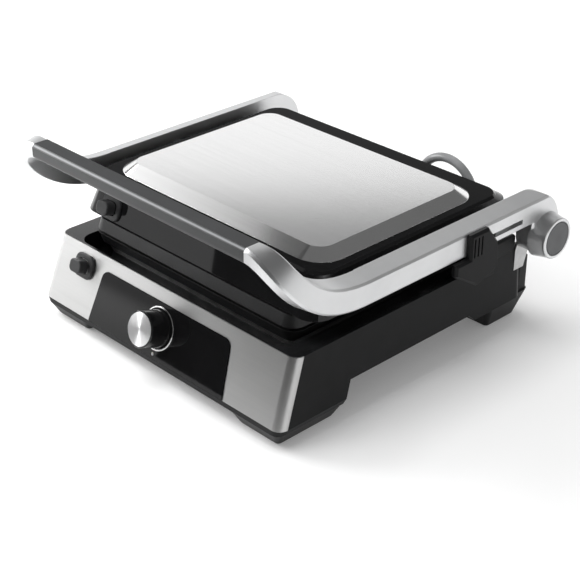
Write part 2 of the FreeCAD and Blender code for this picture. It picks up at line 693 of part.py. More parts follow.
def make_bottom_cover():
    body = new_body("bottom_cover")
    inner_front = f"{front_at('rim_bottom')} + wall + panel_thick + cover_gap"
    step = f"(sheet_thick * (arch_start - apron_end) / (arch_top - rim_bottom))"
    block(body, "cover_sheet", "YZ_Plane", "0",
          [(inner_front, "rim_bottom"), (back("apron_end"), "rim_bottom"), (back("arch_start"), "arch_top"),
           (back("base_depth - wall"), "arch_top"), (back("base_depth - wall"), "arch_top + sheet_thick"),
           (f"{back('arch_start')} - {step}", "arch_top + sheet_thick"),
           (f"{back('apron_end')} - {step}", "rim_bottom + sheet_thick"),
           (f"{inner_front} + sheet_thick * {LEAN}", "rim_bottom + sheet_thick")],
          "base_top_width - 2 * wall - 2 * cover_gap", symmetric=True)
    node(body)
    heads = new_body("cover_screws")
    sketch = new_sketch(heads, "screw_heads", "XY_Plane", "arch_top")
    side = "base_top_width / 2 - wall - screw_inset"
    spots = [(side, "arch_start + screw_inset"), (side, "(arch_start + base_depth) / 2"),
             ("rear_foot_inner - screw_inset", "base_depth - wall - screw_inset")]
    for sign in ("", "-"):
        for across, depth in spots:
            circle(sketch, f"{sign}({across})", back(depth), "screw_head")
    pad(heads, "screw_pads", sketch, "screw_height", flip=True)
    node(heads)


def make_feet():
    front = new_body("front_foot_right")
    top = ("foot_inner", f"{front_at('rim_bottom')} + wall", "base_width / 2 - wall", back("foot_rear"),
           "(foot_round * 2)")
    low = ("foot_inner + foot_taper", f"{front_at('rim_bottom')} + wall + foot_taper",
           "base_width / 2 - wall - foot_taper", back("foot_rear - foot_taper"), "foot_round")
    tapered("Additive", front, "front_foot_form", low, "pad_height", top, "rim_bottom")
    pair("front_foot", front)
    pad_body = new_body("front_pad_right")
    sketch = new_sketch(pad_body, "front_pad_outline", "XY_Plane")
    rounded_rectangle(sketch, "foot_inner + foot_taper + pad_inset",
                      f"{front_at('rim_bottom')} + wall + foot_taper + pad_inset",
                      "base_width / 2 - wall - foot_taper - pad_inset",
                      back("foot_rear - foot_taper - pad_inset"), "foot_round")
    pad(pad_body, "front_pad_form", sketch, "pad_height")
    pair("front_pad", pad_body)
    rear = new_body("rear_foot_right")
    top = ("rear_foot_inner", back("rear_foot_front"), "rear_foot_outer", back("rear_foot_rear"),
           "(foot_round * 2)")
    low = ("rear_foot_inner + rear_foot_taper", back("rear_foot_front + rear_foot_taper"),
           "rear_foot_outer - rear_foot_taper", back("rear_foot_rear - rear_foot_taper"), "foot_round")
    tapered("Additive", rear, "rear_foot_form", low, "pad_height", top, "skirt_bottom")
    post = new_sketch(rear, "rear_post_outline", "XY_Plane", "skirt_bottom")
    rounded_rectangle(post, "rear_foot_outer - post_inset - post_width", back("base_depth"),
                      "rear_foot_outer - post_inset", back("rear_foot_rear - post_inset"), "foot_round")
    pad(rear, "rear_post", post, "post_top - skirt_bottom")
    pair("rear_foot", rear)
    rear_pad = new_body("rear_pad_right")
    sketch = new_sketch(rear_pad, "rear_pad_outline", "XY_Plane")
    inset = "rear_foot_taper + pad_inset"
    rounded_rectangle(sketch, f"rear_foot_inner + {inset}", f"{back('rear_foot_front')} + {inset}",
                      f"rear_foot_outer - ({inset})", f"{back('rear_foot_rear')} - ({inset})", "foot_round")
    pad(rear_pad, "rear_pad_form", sketch, "pad_height")
    pair("rear_pad", rear_pad)


# Controls

def make_controls():
    panel = leaning_body("control_panel", back("0"), "panel_bottom")
    outline = window_outline(panel, "control_sheet", "-panel_thick", "window_foot", "0")
    form = pad(panel, "control_sheet", outline, "panel_thick + window_proud")
    round_window(panel, "control_sheet", form)
    bore(panel, "control_shaft_hole", "XY_Plane", "window_proud", "0", "knob_height",
         "shaft_radius + shaft_gap")
    bore(panel, "lamp_hole", "XY_Plane", "window_proud", "0", "lamp_height", "lamp_radius")
    node(panel)

    lamp = leaning_body("indicator_lamp", back("0"), "panel_bottom")
    disc(lamp, "lamp_lens", "XY_Plane", "-panel_thick", "0", "lamp_height", "lamp_radius",
         "panel_thick + window_proud * 1.5")
    node(lamp)

    ring = knob_axis_body("knob_ring")
    top = "window_proud + ring_height"
    bevel = "ring_width / 4"
    revolved(ring, "ring_form", "V_Axis",
             [("ring_radius - ring_width", "window_proud"), ("ring_radius", "window_proud"),
              ("ring_radius", f"{top} - {bevel}"), (f"ring_radius - {bevel}", top),
              (f"ring_radius - ring_width + {bevel}", top), ("ring_radius - ring_width", f"{top} - {bevel}")])
    node(ring)

    make_knob()
    thermostat = leaning_body("thermostat", back("0"), "panel_bottom")
    seat = "-(wall + panel_thick)"
    sketch = new_sketch(thermostat, "thermostat_outline", "XY_Plane", seat)
    rectangle(sketch, "-thermostat_width / 2", "knob_height - thermostat_height / 2",
              "thermostat_width / 2", "knob_height + thermostat_height / 2")
    pad(thermostat, "thermostat_form", sketch, "thermostat_depth", flip=True)
    bore(thermostat, "thermostat_bearing", "XY_Plane", seat, "0", "knob_height", "shaft_radius + running_gap",
         "thermostat_depth * 0.7")
    node(thermostat)


def knob_axis_body(name):
    """Leaning body whose local Z is the knob's axis."""
    return leaning_body(name, f"{back('0')} + knob_height * sin(front_lean * 1 deg)",
                        "panel_bottom + knob_height * cos(front_lean * 1 deg)")


def make_knob():
    foot = "(window_proud + knob_gap)"
    top = "(window_proud + knob_length)"
    seat = f"({top} - face_thick)"
    socket = f"({foot} + knob_socket)"
    knob = knob_axis_body("knob_body")
    revolved(knob, "knob_form", "V_Axis",
             [("shaft_radius", foot), ("knob_radius", foot), ("knob_top_radius", seat),
              ("(knob_top_radius + face_radius) / 2", top), ("face_radius", top), ("face_radius", seat),
              ("0", seat), ("0", socket), ("shaft_radius", socket)])
    node(knob)

    face = knob_axis_body("knob_face")
    bevel = "face_thick / 4"
    revolved(face, "face_form", "V_Axis",
             [("0", seat), ("face_radius", seat), ("face_radius", f"{top} - {bevel}"),
              (f"face_radius - {bevel}", top), ("0", top)])
    node(face)

    shaft = knob_axis_body("knob_shaft")
    reach = "wall + panel_thick + thermostat_depth / 2"
    disc(shaft, "shaft_form", "XY_Plane", f"-({reach})", "0", "0", "shaft_radius", f"{reach} + {socket}")
    node(shaft)


def make_release(name, depth, height, along):
    """Bezel and sprung push button, at a height along a leaning front."""
    middle = "-release_x"
    bezel = leaning_body(f"{name}_release_bezel", depth, height)
    sketch = new_sketch(bezel, f"{name}_bezel_outline", "XY_Plane")
    rounded_rectangle(sketch, f"{middle} - bezel_width / 2", f"{along} - bezel_height / 2",
                      f"{middle} + bezel_width / 2", f"{along} + bezel_height / 2", "bezel_round")
    form = pad(bezel, f"{name}_bezel_form", sketch, "bezel_proud")
    dressed("Chamfer", bezel, f"{name}_bezel_edge", form, "bezel_proud / 3",
            lambda edge: near(edge, "Z", size("bezel_proud")))
    opening = new_sketch(bezel, f"{name}_bezel_opening", "XY_Plane", "bezel_proud")
    button_round = "(bezel_round - bezel_border / 2)"
    half_width = "(button_width / 2 + button_gap)"
    half_height = "(button_height / 2 + button_gap)"
    rounded_rectangle(opening, f"{middle} - {half_width}", f"{along} - {half_height}",
                      f"{middle} + {half_width}", f"{along} + {half_height}", button_round)
    pocket(bezel, f"{name}_bezel_cut", opening)
    node(bezel)

    button = leaning_body(f"{name}_release_button", depth, height)
    foot = "button_travel + button_gap"
    sketch = new_sketch(button, f"{name}_button_outline", "XY_Plane", foot)
    rounded_rectangle(sketch, f"{middle} - button_width / 2", f"{along} - button_height / 2",
                      f"{middle} + button_width / 2", f"{along} + button_height / 2", button_round)
    form = pad(button, f"{name}_button_form", sketch, f"button_proud - ({foot})")
    dressed("Fillet", button, f"{name}_button_edge", form, "bezel_proud / 2",
            lambda edge: near(edge, "Z", size("button_proud")))
    disc(button, f"{name}_button_stem", "XY_Plane", "-stem_length", middle, along, "stem_radius",
         f"stem_length + {foot}")
    node(button)


# Plates, heaters and trays

def plate_outline(inset):
    inset = f"({inset})"
    half = f"(plate_width / 2 - {inset})"
    return (f"-{half}", f"{back('plate_front')} + {inset}", half, f"{back('plate_rear')} - {inset}",
            f"(plate_round - {inset})")


def make_plate(name, rim_z, back_z, up):
    """Ribbed plate whose rim lies at rim_z and whose heater side lies at back_z. up is 1 or -1."""
    body = new_body(name)
    sign = "+" if up > 0 else "-"
    tapered("Additive", body, f"{name}_form", plate_outline("plate_taper"), back_z, plate_outline("0"), rim_z)
    face = new_sketch(body, f"{name}_face", "XY_Plane", rim_z)
    rounded_rectangle(face, *plate_outline("rim_width"))
    pocket(body, f"{name}_face_cut", face, "rim_depth", flip=up < 0)
    rear = new_sketch(body, f"{name}_rear", "XY_Plane", back_z)
    rounded_rectangle(rear, *plate_outline("plate_taper + rim_width"))
    pocket(body, f"{name}_rear_cut", rear, "plate_height - rim_depth - plate_thick", flip=up > 0)
    floor = f"({rim_z} - ({sign}1) * rim_depth)"
    crest = f"({floor} + ({sign}1) * rib_height)"
    first = "(-rib_pitch * (rib_count - 1) / 2)"
    rib = new_sketch(body, f"{name}_rib", "XZ_Plane", f"-{back('plate_rear - rim_width - channel')}")
    polygon(rib, [(f"{first} - rib_foot / 2", floor), (f"{first} + rib_foot / 2", floor),
                  (f"{first} + rib_crest / 2", crest), (f"{first} - rib_crest / 2", crest)])
    ridge = pad(body, f"{name}_ridge", rib, "plate_rear - plate_front - 2 * rim_width - 2 * channel")
    pattern = body.newObject("PartDesign::LinearPattern", f"{name}_ridges")
    pattern.Originals = [ridge]
    pattern.Direction = (rib, ["H_Axis"])
    pattern.Mode = "Spacing"
    bind(pattern, "Offset", "rib_pitch")
    bind(pattern, "Occurrences", "rib_count")
    body.Tip = pattern
    doc.recompute()
    node(body)


def make_heater(name, height):
    """Tube that runs forward, across and back again, with a bend of half a turn at each inner leg."""
    radius = size("heater_radius")
    bend = size("heater_bend")
    half = size("plate_width") / 2 - size("heater_side")
    z = height
    front = size("front_y") + size("plate_front") + size("heater_side")
    rear = size("front_y") + size("plate_rear") - size("heater_side")
    corner = bend * math.sin(math.pi / 4)
    edges = []

    def line(start, end):
        edges.append(Part.LineSegment(Vector(*start, z), Vector(*end, z)).toShape())

    def arc(start, through, end):
        edges.append(Part.Arc(Vector(*start, z), Vector(*through, z), Vector(*end, z)).toShape())

    line((-half, rear), (-half, front + bend))
    arc((-half, front + bend), (-half + bend - corner, front + bend - corner), (-half + bend, front))
    line((-half + bend, front), (half - bend, front))
    arc((half - bend, front), (half - bend + corner, front + bend - corner), (half, front + bend))
    line((half, front + bend), (half, rear))
    path = Part.Wire(edges)
    profile = Part.Wire(Part.Circle(Vector(-half, rear, z), Vector(0, 1, 0), radius).toShape())
    tube = doc.addObject("Part::Feature", name)
    tube.Label = name
    tube.Shape = path.makePipeShell([profile], True, False)
    print(name, "bend radius", bend, "volume over section times length",
          round(tube.Shape.Volume / (math.pi * radius ** 2 * path.Length), 4))
    node(tube)


def make_tray(name, seat_z, floor_z, up):
    """Reflector tray of thin sheet with sloping sides. Its open side meets the plate at seat_z."""
    body = new_body(name)
    sheet_z = f"({floor_z} + tray_thick)" if up else f"({floor_z} - tray_thick)"
    tapered("Additive", body, f"{name}_form", plate_outline("tray_inset + tray_slope"), floor_z,
            plate_outline("tray_inset"), seat_z)
    inner_floor = plate_outline("tray_inset + tray_slope + tray_thick")
    tapered("Subtractive", body, f"{name}_inside", inner_floor, sheet_z,
            plate_outline("tray_inset + tray_thick"), seat_z)
    node(body)


def make_cooking_parts():
    make_plate("lower_plate", "lower_rim", "(lower_rim - plate_height)", 1)
    make_plate("upper_plate", "upper_rim", "upper_back", -1)
    clear = size("rim_depth") + size("plate_thick") + size("heater_gap") + size("heater_radius")
    make_heater("lower_heater", size("lower_rim") - clear)
    make_heater("upper_heater", size("upper_rim") + clear)
    make_tray("lower_reflector", "(lower_rim - plate_height)", "well_floor", True)
    make_tray("upper_reflector", "upper_back", "(upper_back + upper_tray)", False)


# Lid

def make_lid():
    body = new_body("lid_form")
    shoulder_z = "(lid_bottom + lid_shoulder)"
    shoulder_half = "(lid_width / 2 - lid_draw * lid_shoulder / (lid_brink - lid_bottom))"
    low = ("-lid_width / 2", back("lid_front"), "lid_width / 2", back("lid_rear"), "lid_round")
    shoulder = (f"-{shoulder_half}", lid_front_at(shoulder_z), shoulder_half,
                back("lid_rear - lid_rear_draw"), "lid_round")
    brink = ("-lid_top_width / 2", lid_front_at("lid_brink"), "lid_top_width / 2", back("lid_top_rear"),
             "lid_round")
    high = ("-(lid_top_width / 2 - lid_edge)", f"{lid_front_at('lid_brink')} + lid_edge",
            "lid_top_width / 2 - lid_edge", back("lid_top_rear - lid_edge"), "(lid_round - lid_edge)")
    tapered("Additive", body, "lid_sides", low, "lid_bottom", shoulder, shoulder_z)
    tapered("Additive", body, "lid_brow", shoulder, shoulder_z, brink, "lid_brink")
    tapered("Additive", body, "lid_top_edge", brink, "lid_brink", high, "lid_top")
    roof = "(lid_top - lid_roof)"
    half_roof = f"(lid_width / 2 - lid_draw * ({roof} - lid_bottom) / (lid_brink - lid_bottom))"
    rear_roof = f"(lid_top_rear + lid_rear_slope * (lid_brink - {roof}) / (lid_brink - {shoulder_z}))"
    tapered("Subtractive", body, "lid_inside",
            ("-lid_width / 2 + wall", back("lid_front + wall"), "lid_width / 2 - wall",
             back("lid_rear - wall"), "(lid_round - wall)"), "lid_bottom",
            (f"-{half_roof} + wall", f"{lid_front_at(roof)} + wall", f"{half_roof} - wall",
             f"{back(rear_roof)} - wall", "(lid_round - wall)"), roof)
    bosses = new_sketch(body, "lid_bosses", "XY_Plane", "upper_back + upper_tray")
    for across in ("boss_x", "-boss_x"):
        for along in ("boss_y", "-boss_y"):
            circle(bosses, across, f"{back('(plate_front + plate_rear) / 2')} + {along}", "lid_boss")
    pad(body, "lid_boss_pads", bosses, f"{roof} - upper_back - upper_tray")
    for side, sign in (("right", ""), ("left", "-")):
        disc(body, f"pivot_boss_{side}", "YZ_Plane", f"{sign}(pivot_inner - pivot_radius)",
             back("pivot_back"), "pivot_z", "collar_radius + wall",
             "lid_top_width / 2 - pivot_inner + pivot_radius",
             flip=side == "left")
    bore(body, "pivot_bores", "YZ_Plane", "0", back("pivot_back"), "pivot_z", "pivot_radius + running_gap",
         symmetric=True)
    holes = leaning_body("lid_holes", back("lid_front"), "lid_bottom")
    disc(holes, "lid_stem_hole", "XY_Plane", "-stem_length - button_travel - wall", "-release_x",
         "release_high", "stem_radius + shaft_gap", "stem_length + button_travel + 2 * wall")
    node(boolean("Cut", "lid_housing", body, holes))


def cover_form(name, inset, base_z, top_z):
    body = new_body(name)
    half = f"(lid_top_width / 2 - ledge - {inset})"
    front = f"{lid_front_at('lid_top')} + ledge + {inset}"
    rear = f"{back('lid_top_rear - rear_ledge')} - {inset}"
    low = (f"-{half}", front, half, rear, f"(cover_round - {inset})")
    high = (f"-({half} - cover_slope)", f"{front} + cover_slope", f"{half} - cover_slope",
            f"{rear} - cover_slope", f"(cover_round - {inset} - cover_slope)")
    tapered("Additive", body, f"{name}_form", low, base_z, high, top_z)
    return body


def make_lid_cover():
    outer = cover_form("cover_outer", "0", "lid_top", "lid_top + cover_height")
    inner = cover_form("cover_inner", "(2 * cover_thick)", "lid_top", "lid_top + cover_height - cover_thick")
    node(boolean("Cut", "lid_cover", outer, inner))


# Arms, handle and hinges

STATIONS = (0, 0.12, 0.26, 0.42, 0.6, 0.8, 1)
TURN_EASE = 0.7


def sweep_section(body, station):
    """One section of an arm's sweep, from 0 at the handle to 1 at the arm's straight part.

    Its place follows a cubic curve. Its outline changes from the handle's section to the arm's, and it
    turns a third of a full turn about the space diagonal, so that the handle's top becomes the outer face.
    """
    eased = station ** TURN_EASE
    turn = round(eased ** 2 * (3 - 2 * eased), 5)
    rest = round(1 - turn, 5)
    swell = round(4 * turn * rest, 5)
    pulled = round(3 * station * (1 - station) ** 2, 5)
    held = round(3 * station ** 2 * (1 - station), 5)
    start = round((1 - station) ** 3 + pulled, 5)
    end = round(1 - start, 5)
    across = f"{start} * handle_half + {pulled} * sweep_pull + {end} * (arm_inner + arm_thick / 2)"
    sketch = new_sketch(body, f"sweep_at_{round(station * 100)}", "YZ_Plane", across)
    sketch.AttachmentOffset = Placement(Vector(0, 0, 0), Rotation(Vector(1, 1, 1), 120 * turn))
    bind(sketch, "AttachmentOffset.Base.x",
         f"{start} * {back('handle_mid')} + {end} * {back('sweep_end')} - {held} * sweep_hold")
    bind(sketch, "AttachmentOffset.Base.y",
         f"{start} * handle_mid_z + {end} * (arm_low + arm_height / 2)")
    wide = f"(({rest} * handle_depth + {turn} * arm_height + {swell} * sweep_swell) / 2)"
    thick = f"(({rest} * handle_height + {turn} * arm_thick + {swell} * sweep_full) / 2)"
    rise = f"({turn} * tan(arm_rise * 1 deg))"
    brow = f"({rest} * handle_chamfer + {turn} * arm_edge)"
    edge = f"({rest} * arm_edge / 2 + {turn} * arm_edge)"
    lower = f"({rest} * sweep_chamfer + {turn} * arm_edge / 4)"
    polygon(sketch, [(f"-{wide} + {lower}", f"-{thick}"),
                     (f"{wide} + 2 * {thick} * {rise} - {lower}", f"-{thick}"),
                     (f"{wide} + (2 * {thick} - {lower}) * {rise}", f"-{thick} + {lower}"),
                     (f"{wide} + {edge} * {rise}", f"{thick} - {edge}"), (f"{wide} - {edge}", thick),
                     (f"-{wide} + {brow}", thick), (f"-{wide}", f"{thick} - {brow}"),
                     (f"-{wide}", f"-{thick} + {lower}")])
    return sketch


def make_arm_sweep():
    """The front of an arm: a bar that turns as it sweeps forward, up and inward into the handle."""
    body = new_body("arm_sweep")
    sections = [sweep_section(body, station) for station in STATIONS]
    sweep = body.newObject("PartDesign::AdditiveLoft", "arm_sweep_form")
    sweep.Profile = sections[0]
    sweep.Sections = sections[1:]
    doc.recompute()
    return body


def make_arm_rear():
    """The straight part of an arm, its sloping top and its neck above the hinge."""
    body = new_body("arm_rear")
    start = back("sweep_end")
    neck = back("hinge_back - barrel_radius")
    rear = back("hinge_back + barrel_radius")
    crest = "(arm_high + arm_thick * tan(arm_rise * 1 deg))"
    form = block(body, "arm_rear_block", "YZ_Plane", "arm_inner",
                 [(start, "arm_low"), (neck, "arm_low"), (neck, "hinge_z"), (rear, "hinge_z"), (rear, crest),
                  (start, crest)], "arm_thick")
    rear_y = size("front_y") + size("hinge_back") + size("barrel_radius")
    form = dressed("Fillet", body, "arm_shoulder", form, "shoulder_round",
                   lambda edge: crosswise(edge) and near(edge, "Y", rear_y)
                   and edge.BoundBox.ZMin > size("arm_high"))
    slope = new_sketch(body, "arm_top_slope", "XZ_Plane", f"-{start}")
    polygon(slope, [("arm_inner", crest), ("arm_outer", "arm_high"), ("arm_outer", crest)])
    form = pocket(body, "arm_top_cut", slope)
    start_y = size("front_y") + size("sweep_end")
    dressed("Chamfer", body, "arm_outer_edges", form, "arm_edge",
            lambda edge: near(edge, "X", size("arm_outer")) and not near(edge, "Y", start_y))
    return body


def make_arm_blank():
    beam = boolean("Fuse", "arm_beam", make_arm_rear(), make_arm_sweep())
    barrel = new_body("arm_barrel")
    bind(barrel, "Placement.Base.y", back("hinge_back"))
    bind(barrel, "Placement.Base.z", "hinge_z")
    flare_x = "(arm_outer - arm_edge * 2)"
    seat = "(barrel_end - cap_thick)"
    rim = "(cap_radius + cap_groove)"
    revolved(barrel, "barrel_form", "H_Axis",
             [("arm_inner", "0"), ("arm_inner", "barrel_radius"), (flare_x, "barrel_radius"),
              (flare_x, "barrel_radius + flare"), (seat, "barrel_radius"),
              ("barrel_end - cap_groove", "barrel_radius"), ("barrel_end", "barrel_radius - cap_groove"),
              ("barrel_end", rim), (seat, rim), (seat, "0")])
    solid = boolean("Fuse", "arm_solid", beam, barrel)

    bores = new_body("arm_bores")
    inside = "arm_inner - arm_gap"
    disc(bores, "bush_bore", "YZ_Plane", inside, back("hinge_back"), "hinge_z", "bush_radius",
         "pin_reach + arm_gap")
    disc(bores, "pivot_socket", "YZ_Plane", inside, back("pivot_back"), "pivot_z", "pivot_radius",
         "pivot_reach + arm_gap")
    disc(bores, "rod_socket", "YZ_Plane", "handle_half - rod_reach", back("handle_mid"), "handle_mid_z",
         "rod_radius", "2 * rod_reach")
    return boolean("Cut", "arm_blank", solid, bores)


def make_arms():
    blank = make_arm_blank()
    slot = new_body("lock_slot")
    rear = "lock_front + (lock_length + tongue_length) / 2 + lock_travel + lock_gap"
    front = "lock_front + (lock_length - tongue_length) / 2 - lock_gap"
    low = "slot_z - tongue_height / 2 - lock_gap"
    high = "slot_z + tongue_height / 2 + lock_gap"
    block(slot, "lock_slot_form", "YZ_Plane", "arm_outer - tongue_depth - lock_gap",
          [(back(front), low), (back(rear), low), (back(rear), high), (back(front), high)],
          "tongue_depth * 2")
    node(boolean("Cut", "right_arm", blank, slot))
    node(mirrored("left_arm", blank))


def make_handle():
    bar = new_body("handle_bar")
    form = block(bar, "handle_form", "YZ_Plane", "0",
                 [(back("handle_front"), "handle_top - handle_height"),
                  (back("handle_front + handle_depth"), "handle_top - handle_height"),
                  (back("handle_front + handle_depth"), "handle_top"), (back("handle_front"), "handle_top")],
                 "2 * handle_half", symmetric=True)
    form = dressed("Chamfer", bar, "handle_upper_edge", form, "handle_chamfer",
                   lambda edge: near(edge, "Z", size("handle_top"))
                   and near(edge, "Y", size("front_y") + size("handle_front")))
    dressed("Fillet", bar, "handle_lower_edges", form, "handle_round",
            lambda edge: crosswise(edge) and near(edge, "Z", size("handle_top") - size("handle_height")))
    bore(bar, "handle_bore", "YZ_Plane", "0", back("handle_mid"), "handle_mid_z", "rod_radius",
         symmetric=True)
    node(bar)
    rod = new_body("handle_tie_rod")
    sketch = new_sketch(rod, "rod_outline", "YZ_Plane")
    circle(sketch, back("handle_mid"), "handle_mid_z", "rod_radius")
    pad(rod, "rod_form", sketch, "2 * handle_half + 2 * rod_reach", symmetric=True)
    node(rod)


def make_hinges():
    bracket = new_body("hinge_bracket_right")
    block(bracket, "bracket_form", "YZ_Plane", "bracket_inner",
          [(back("bracket_front"), "bracket_bottom"), (back("base_depth"), "bracket_bottom"),
           (back("hinge_back + ear_radius"), "hinge_z"), (back("hinge_back - ear_radius"), "hinge_z"),
           (back("bracket_front"), "base_top")], "bracket_thick")
    disc(bracket, "bracket_ear", "YZ_Plane", "bracket_inner", back("hinge_back"), "hinge_z", "ear_radius",
         "bracket_thick")
    bore(bracket, "bracket_bore", "YZ_Plane", "bracket_inner", back("hinge_back"), "hinge_z", "pin_radius",
         flip=True)
    pair("hinge_bracket", bracket)

    pin = new_body("hinge_pin_right")
    disc(pin, "pin_form", "YZ_Plane", "bracket_inner", back("hinge_back"), "hinge_z", "pin_radius",
         "arm_inner + pin_reach - bracket_inner - running_gap")
    disc(pin, "pin_head_form", "YZ_Plane", "bracket_inner", back("hinge_back"), "hinge_z", "pin_head",
         "head_thick", flip=True)
    pair("hinge_pin", pin)

    bush = new_body("hinge_bush_right")
    sketch = new_sketch(bush, "bush_outline", "YZ_Plane", "arm_inner")
    circle(sketch, back("hinge_back"), "hinge_z", "bush_radius")
    circle(sketch, back("hinge_back"), "hinge_z", "pin_radius + running_gap")
    pad(bush, "bush_form", sketch, "pin_reach")
    pair("hinge_bush", bush)

    cap = new_body("hinge_cap_right")
    form = disc(cap, "cap_form", "YZ_Plane", "barrel_end - cap_thick", back("hinge_back"), "hinge_z",
                "cap_radius", "cap_thick")
    dressed("Fillet", cap, "cap_edge", form, "cap_groove", lambda edge: near(edge, "X", size("barrel_end")))
    pair("hinge_cap", cap)

    tower = new_body("hinge_tower_right")
    form = block(tower, "tower_form", "YZ_Plane", "tower_inner",
                 [(back("tower_front"), "base_top"), (back("bracket_front"), "base_top"),
                  (back("bracket_front"), "tower_top"), (back("tower_front"), "tower_top")],
                 "base_top_width / 2 - tower_inner")
    dressed("Fillet", tower, "tower_edges", form, "tower_round",
            lambda edge: near(edge, "Z", size("tower_top")))
    pair("hinge_tower", tower)

    pivot = new_body("pivot_pin_right")
    disc(pivot, "pivot_form", "YZ_Plane", "pivot_inner", back("pivot_back"), "pivot_z", "pivot_radius",
         "arm_inner + pivot_reach - pivot_inner")
    disc(pivot, "pivot_collar", "YZ_Plane", "collar_inner", back("pivot_back"), "pivot_z", "collar_radius",
         "arm_inner - collar_inner")
    pair("pivot_pin", pivot)


def make_lock():
    body = new_body("lock_slider")
    outside = "arm_outer + lock_gap"
    rear = "lock_front + lock_length"
    top = "(arm_low + lock_over)"
    below = "(arm_low - lock_gap)"
    nose = back("lock_front - lock_nose")
    form = block(body, "lock_plate", "YZ_Plane", outside,
                 [(back("lock_front"), top), (back("lock_front + lock_grip"), top),
                  (back(f"{rear} - lock_bevel"), "arm_low + lock_cheek"), (back(rear), "arm_low - lock_heel"),
                  (back("lock_front + lock_toe"), "arm_low - lock_chin"), (nose, "arm_low - lock_jaw"),
                  (nose, below), (back("lock_front"), below)], "lock_thick")
    dressed("Chamfer", body, "lock_edges", form, "lock_bevel",
            lambda edge: near(edge, "X", size("arm_outer") + size("lock_gap") + size("lock_thick")))
    web_front = back(f"{rear} - web_length")
    hook_low = "(arm_low - lock_chin)"
    block(body, "lock_web", "YZ_Plane", outside,
          [(web_front, hook_low), (back(rear), hook_low), (back(rear), "arm_low - lock_jaw"),
           (web_front, "arm_low - lock_jaw")], "web_reach", flip=True)
    block(body, "lock_hook", "YZ_Plane", f"{outside} - web_reach",
          [(web_front, hook_low), (back(rear), hook_low), (back(rear), f"{hook_low} + hook_height"),
           (web_front, f"{hook_low} + hook_height")], "hook_reach", flip=True)
    middle = "(lock_front + lock_length / 2)"
    block(body, "lock_tongue", "YZ_Plane", outside,
          [(back(f"{middle} - tongue_length / 2"), "slot_z - tongue_height / 2"),
           (back(f"{middle} + tongue_length / 2"), "slot_z - tongue_height / 2"),
           (back(f"{middle} + tongue_length / 2"), "slot_z + tongue_height / 2"),
           (back(f"{middle} - tongue_length / 2"), "slot_z + tongue_height / 2")],
          "tongue_depth + lock_gap", flip=True)
    groove = new_sketch(body, "grip_groove", "YZ_Plane", f"{outside} + lock_thick - grip_depth")
    first = "(lock_front + grip_pitch)"
    groove_top = f"({top} - lock_bevel - grip_width)"
    rectangle(groove, back(f"{first} - grip_width / 2"), f"{groove_top} - grip_height",
              back(f"{first} + grip_width / 2"), groove_top)
    cut = pocket(body, "grip_groove_cut", groove, "lock_thick", flip=True)
    pattern = body.newObject("PartDesign::LinearPattern", "grip_grooves")
    pattern.Originals = [cut]
    pattern.Direction = (groove, ["H_Axis"])
    pattern.Mode = "Spacing"
    bind(pattern, "Offset", "grip_pitch")
    bind(pattern, "Occurrences", "grip_count")
    body.Tip = pattern
    doc.recompute()
    node(body)


# Conduit and glands

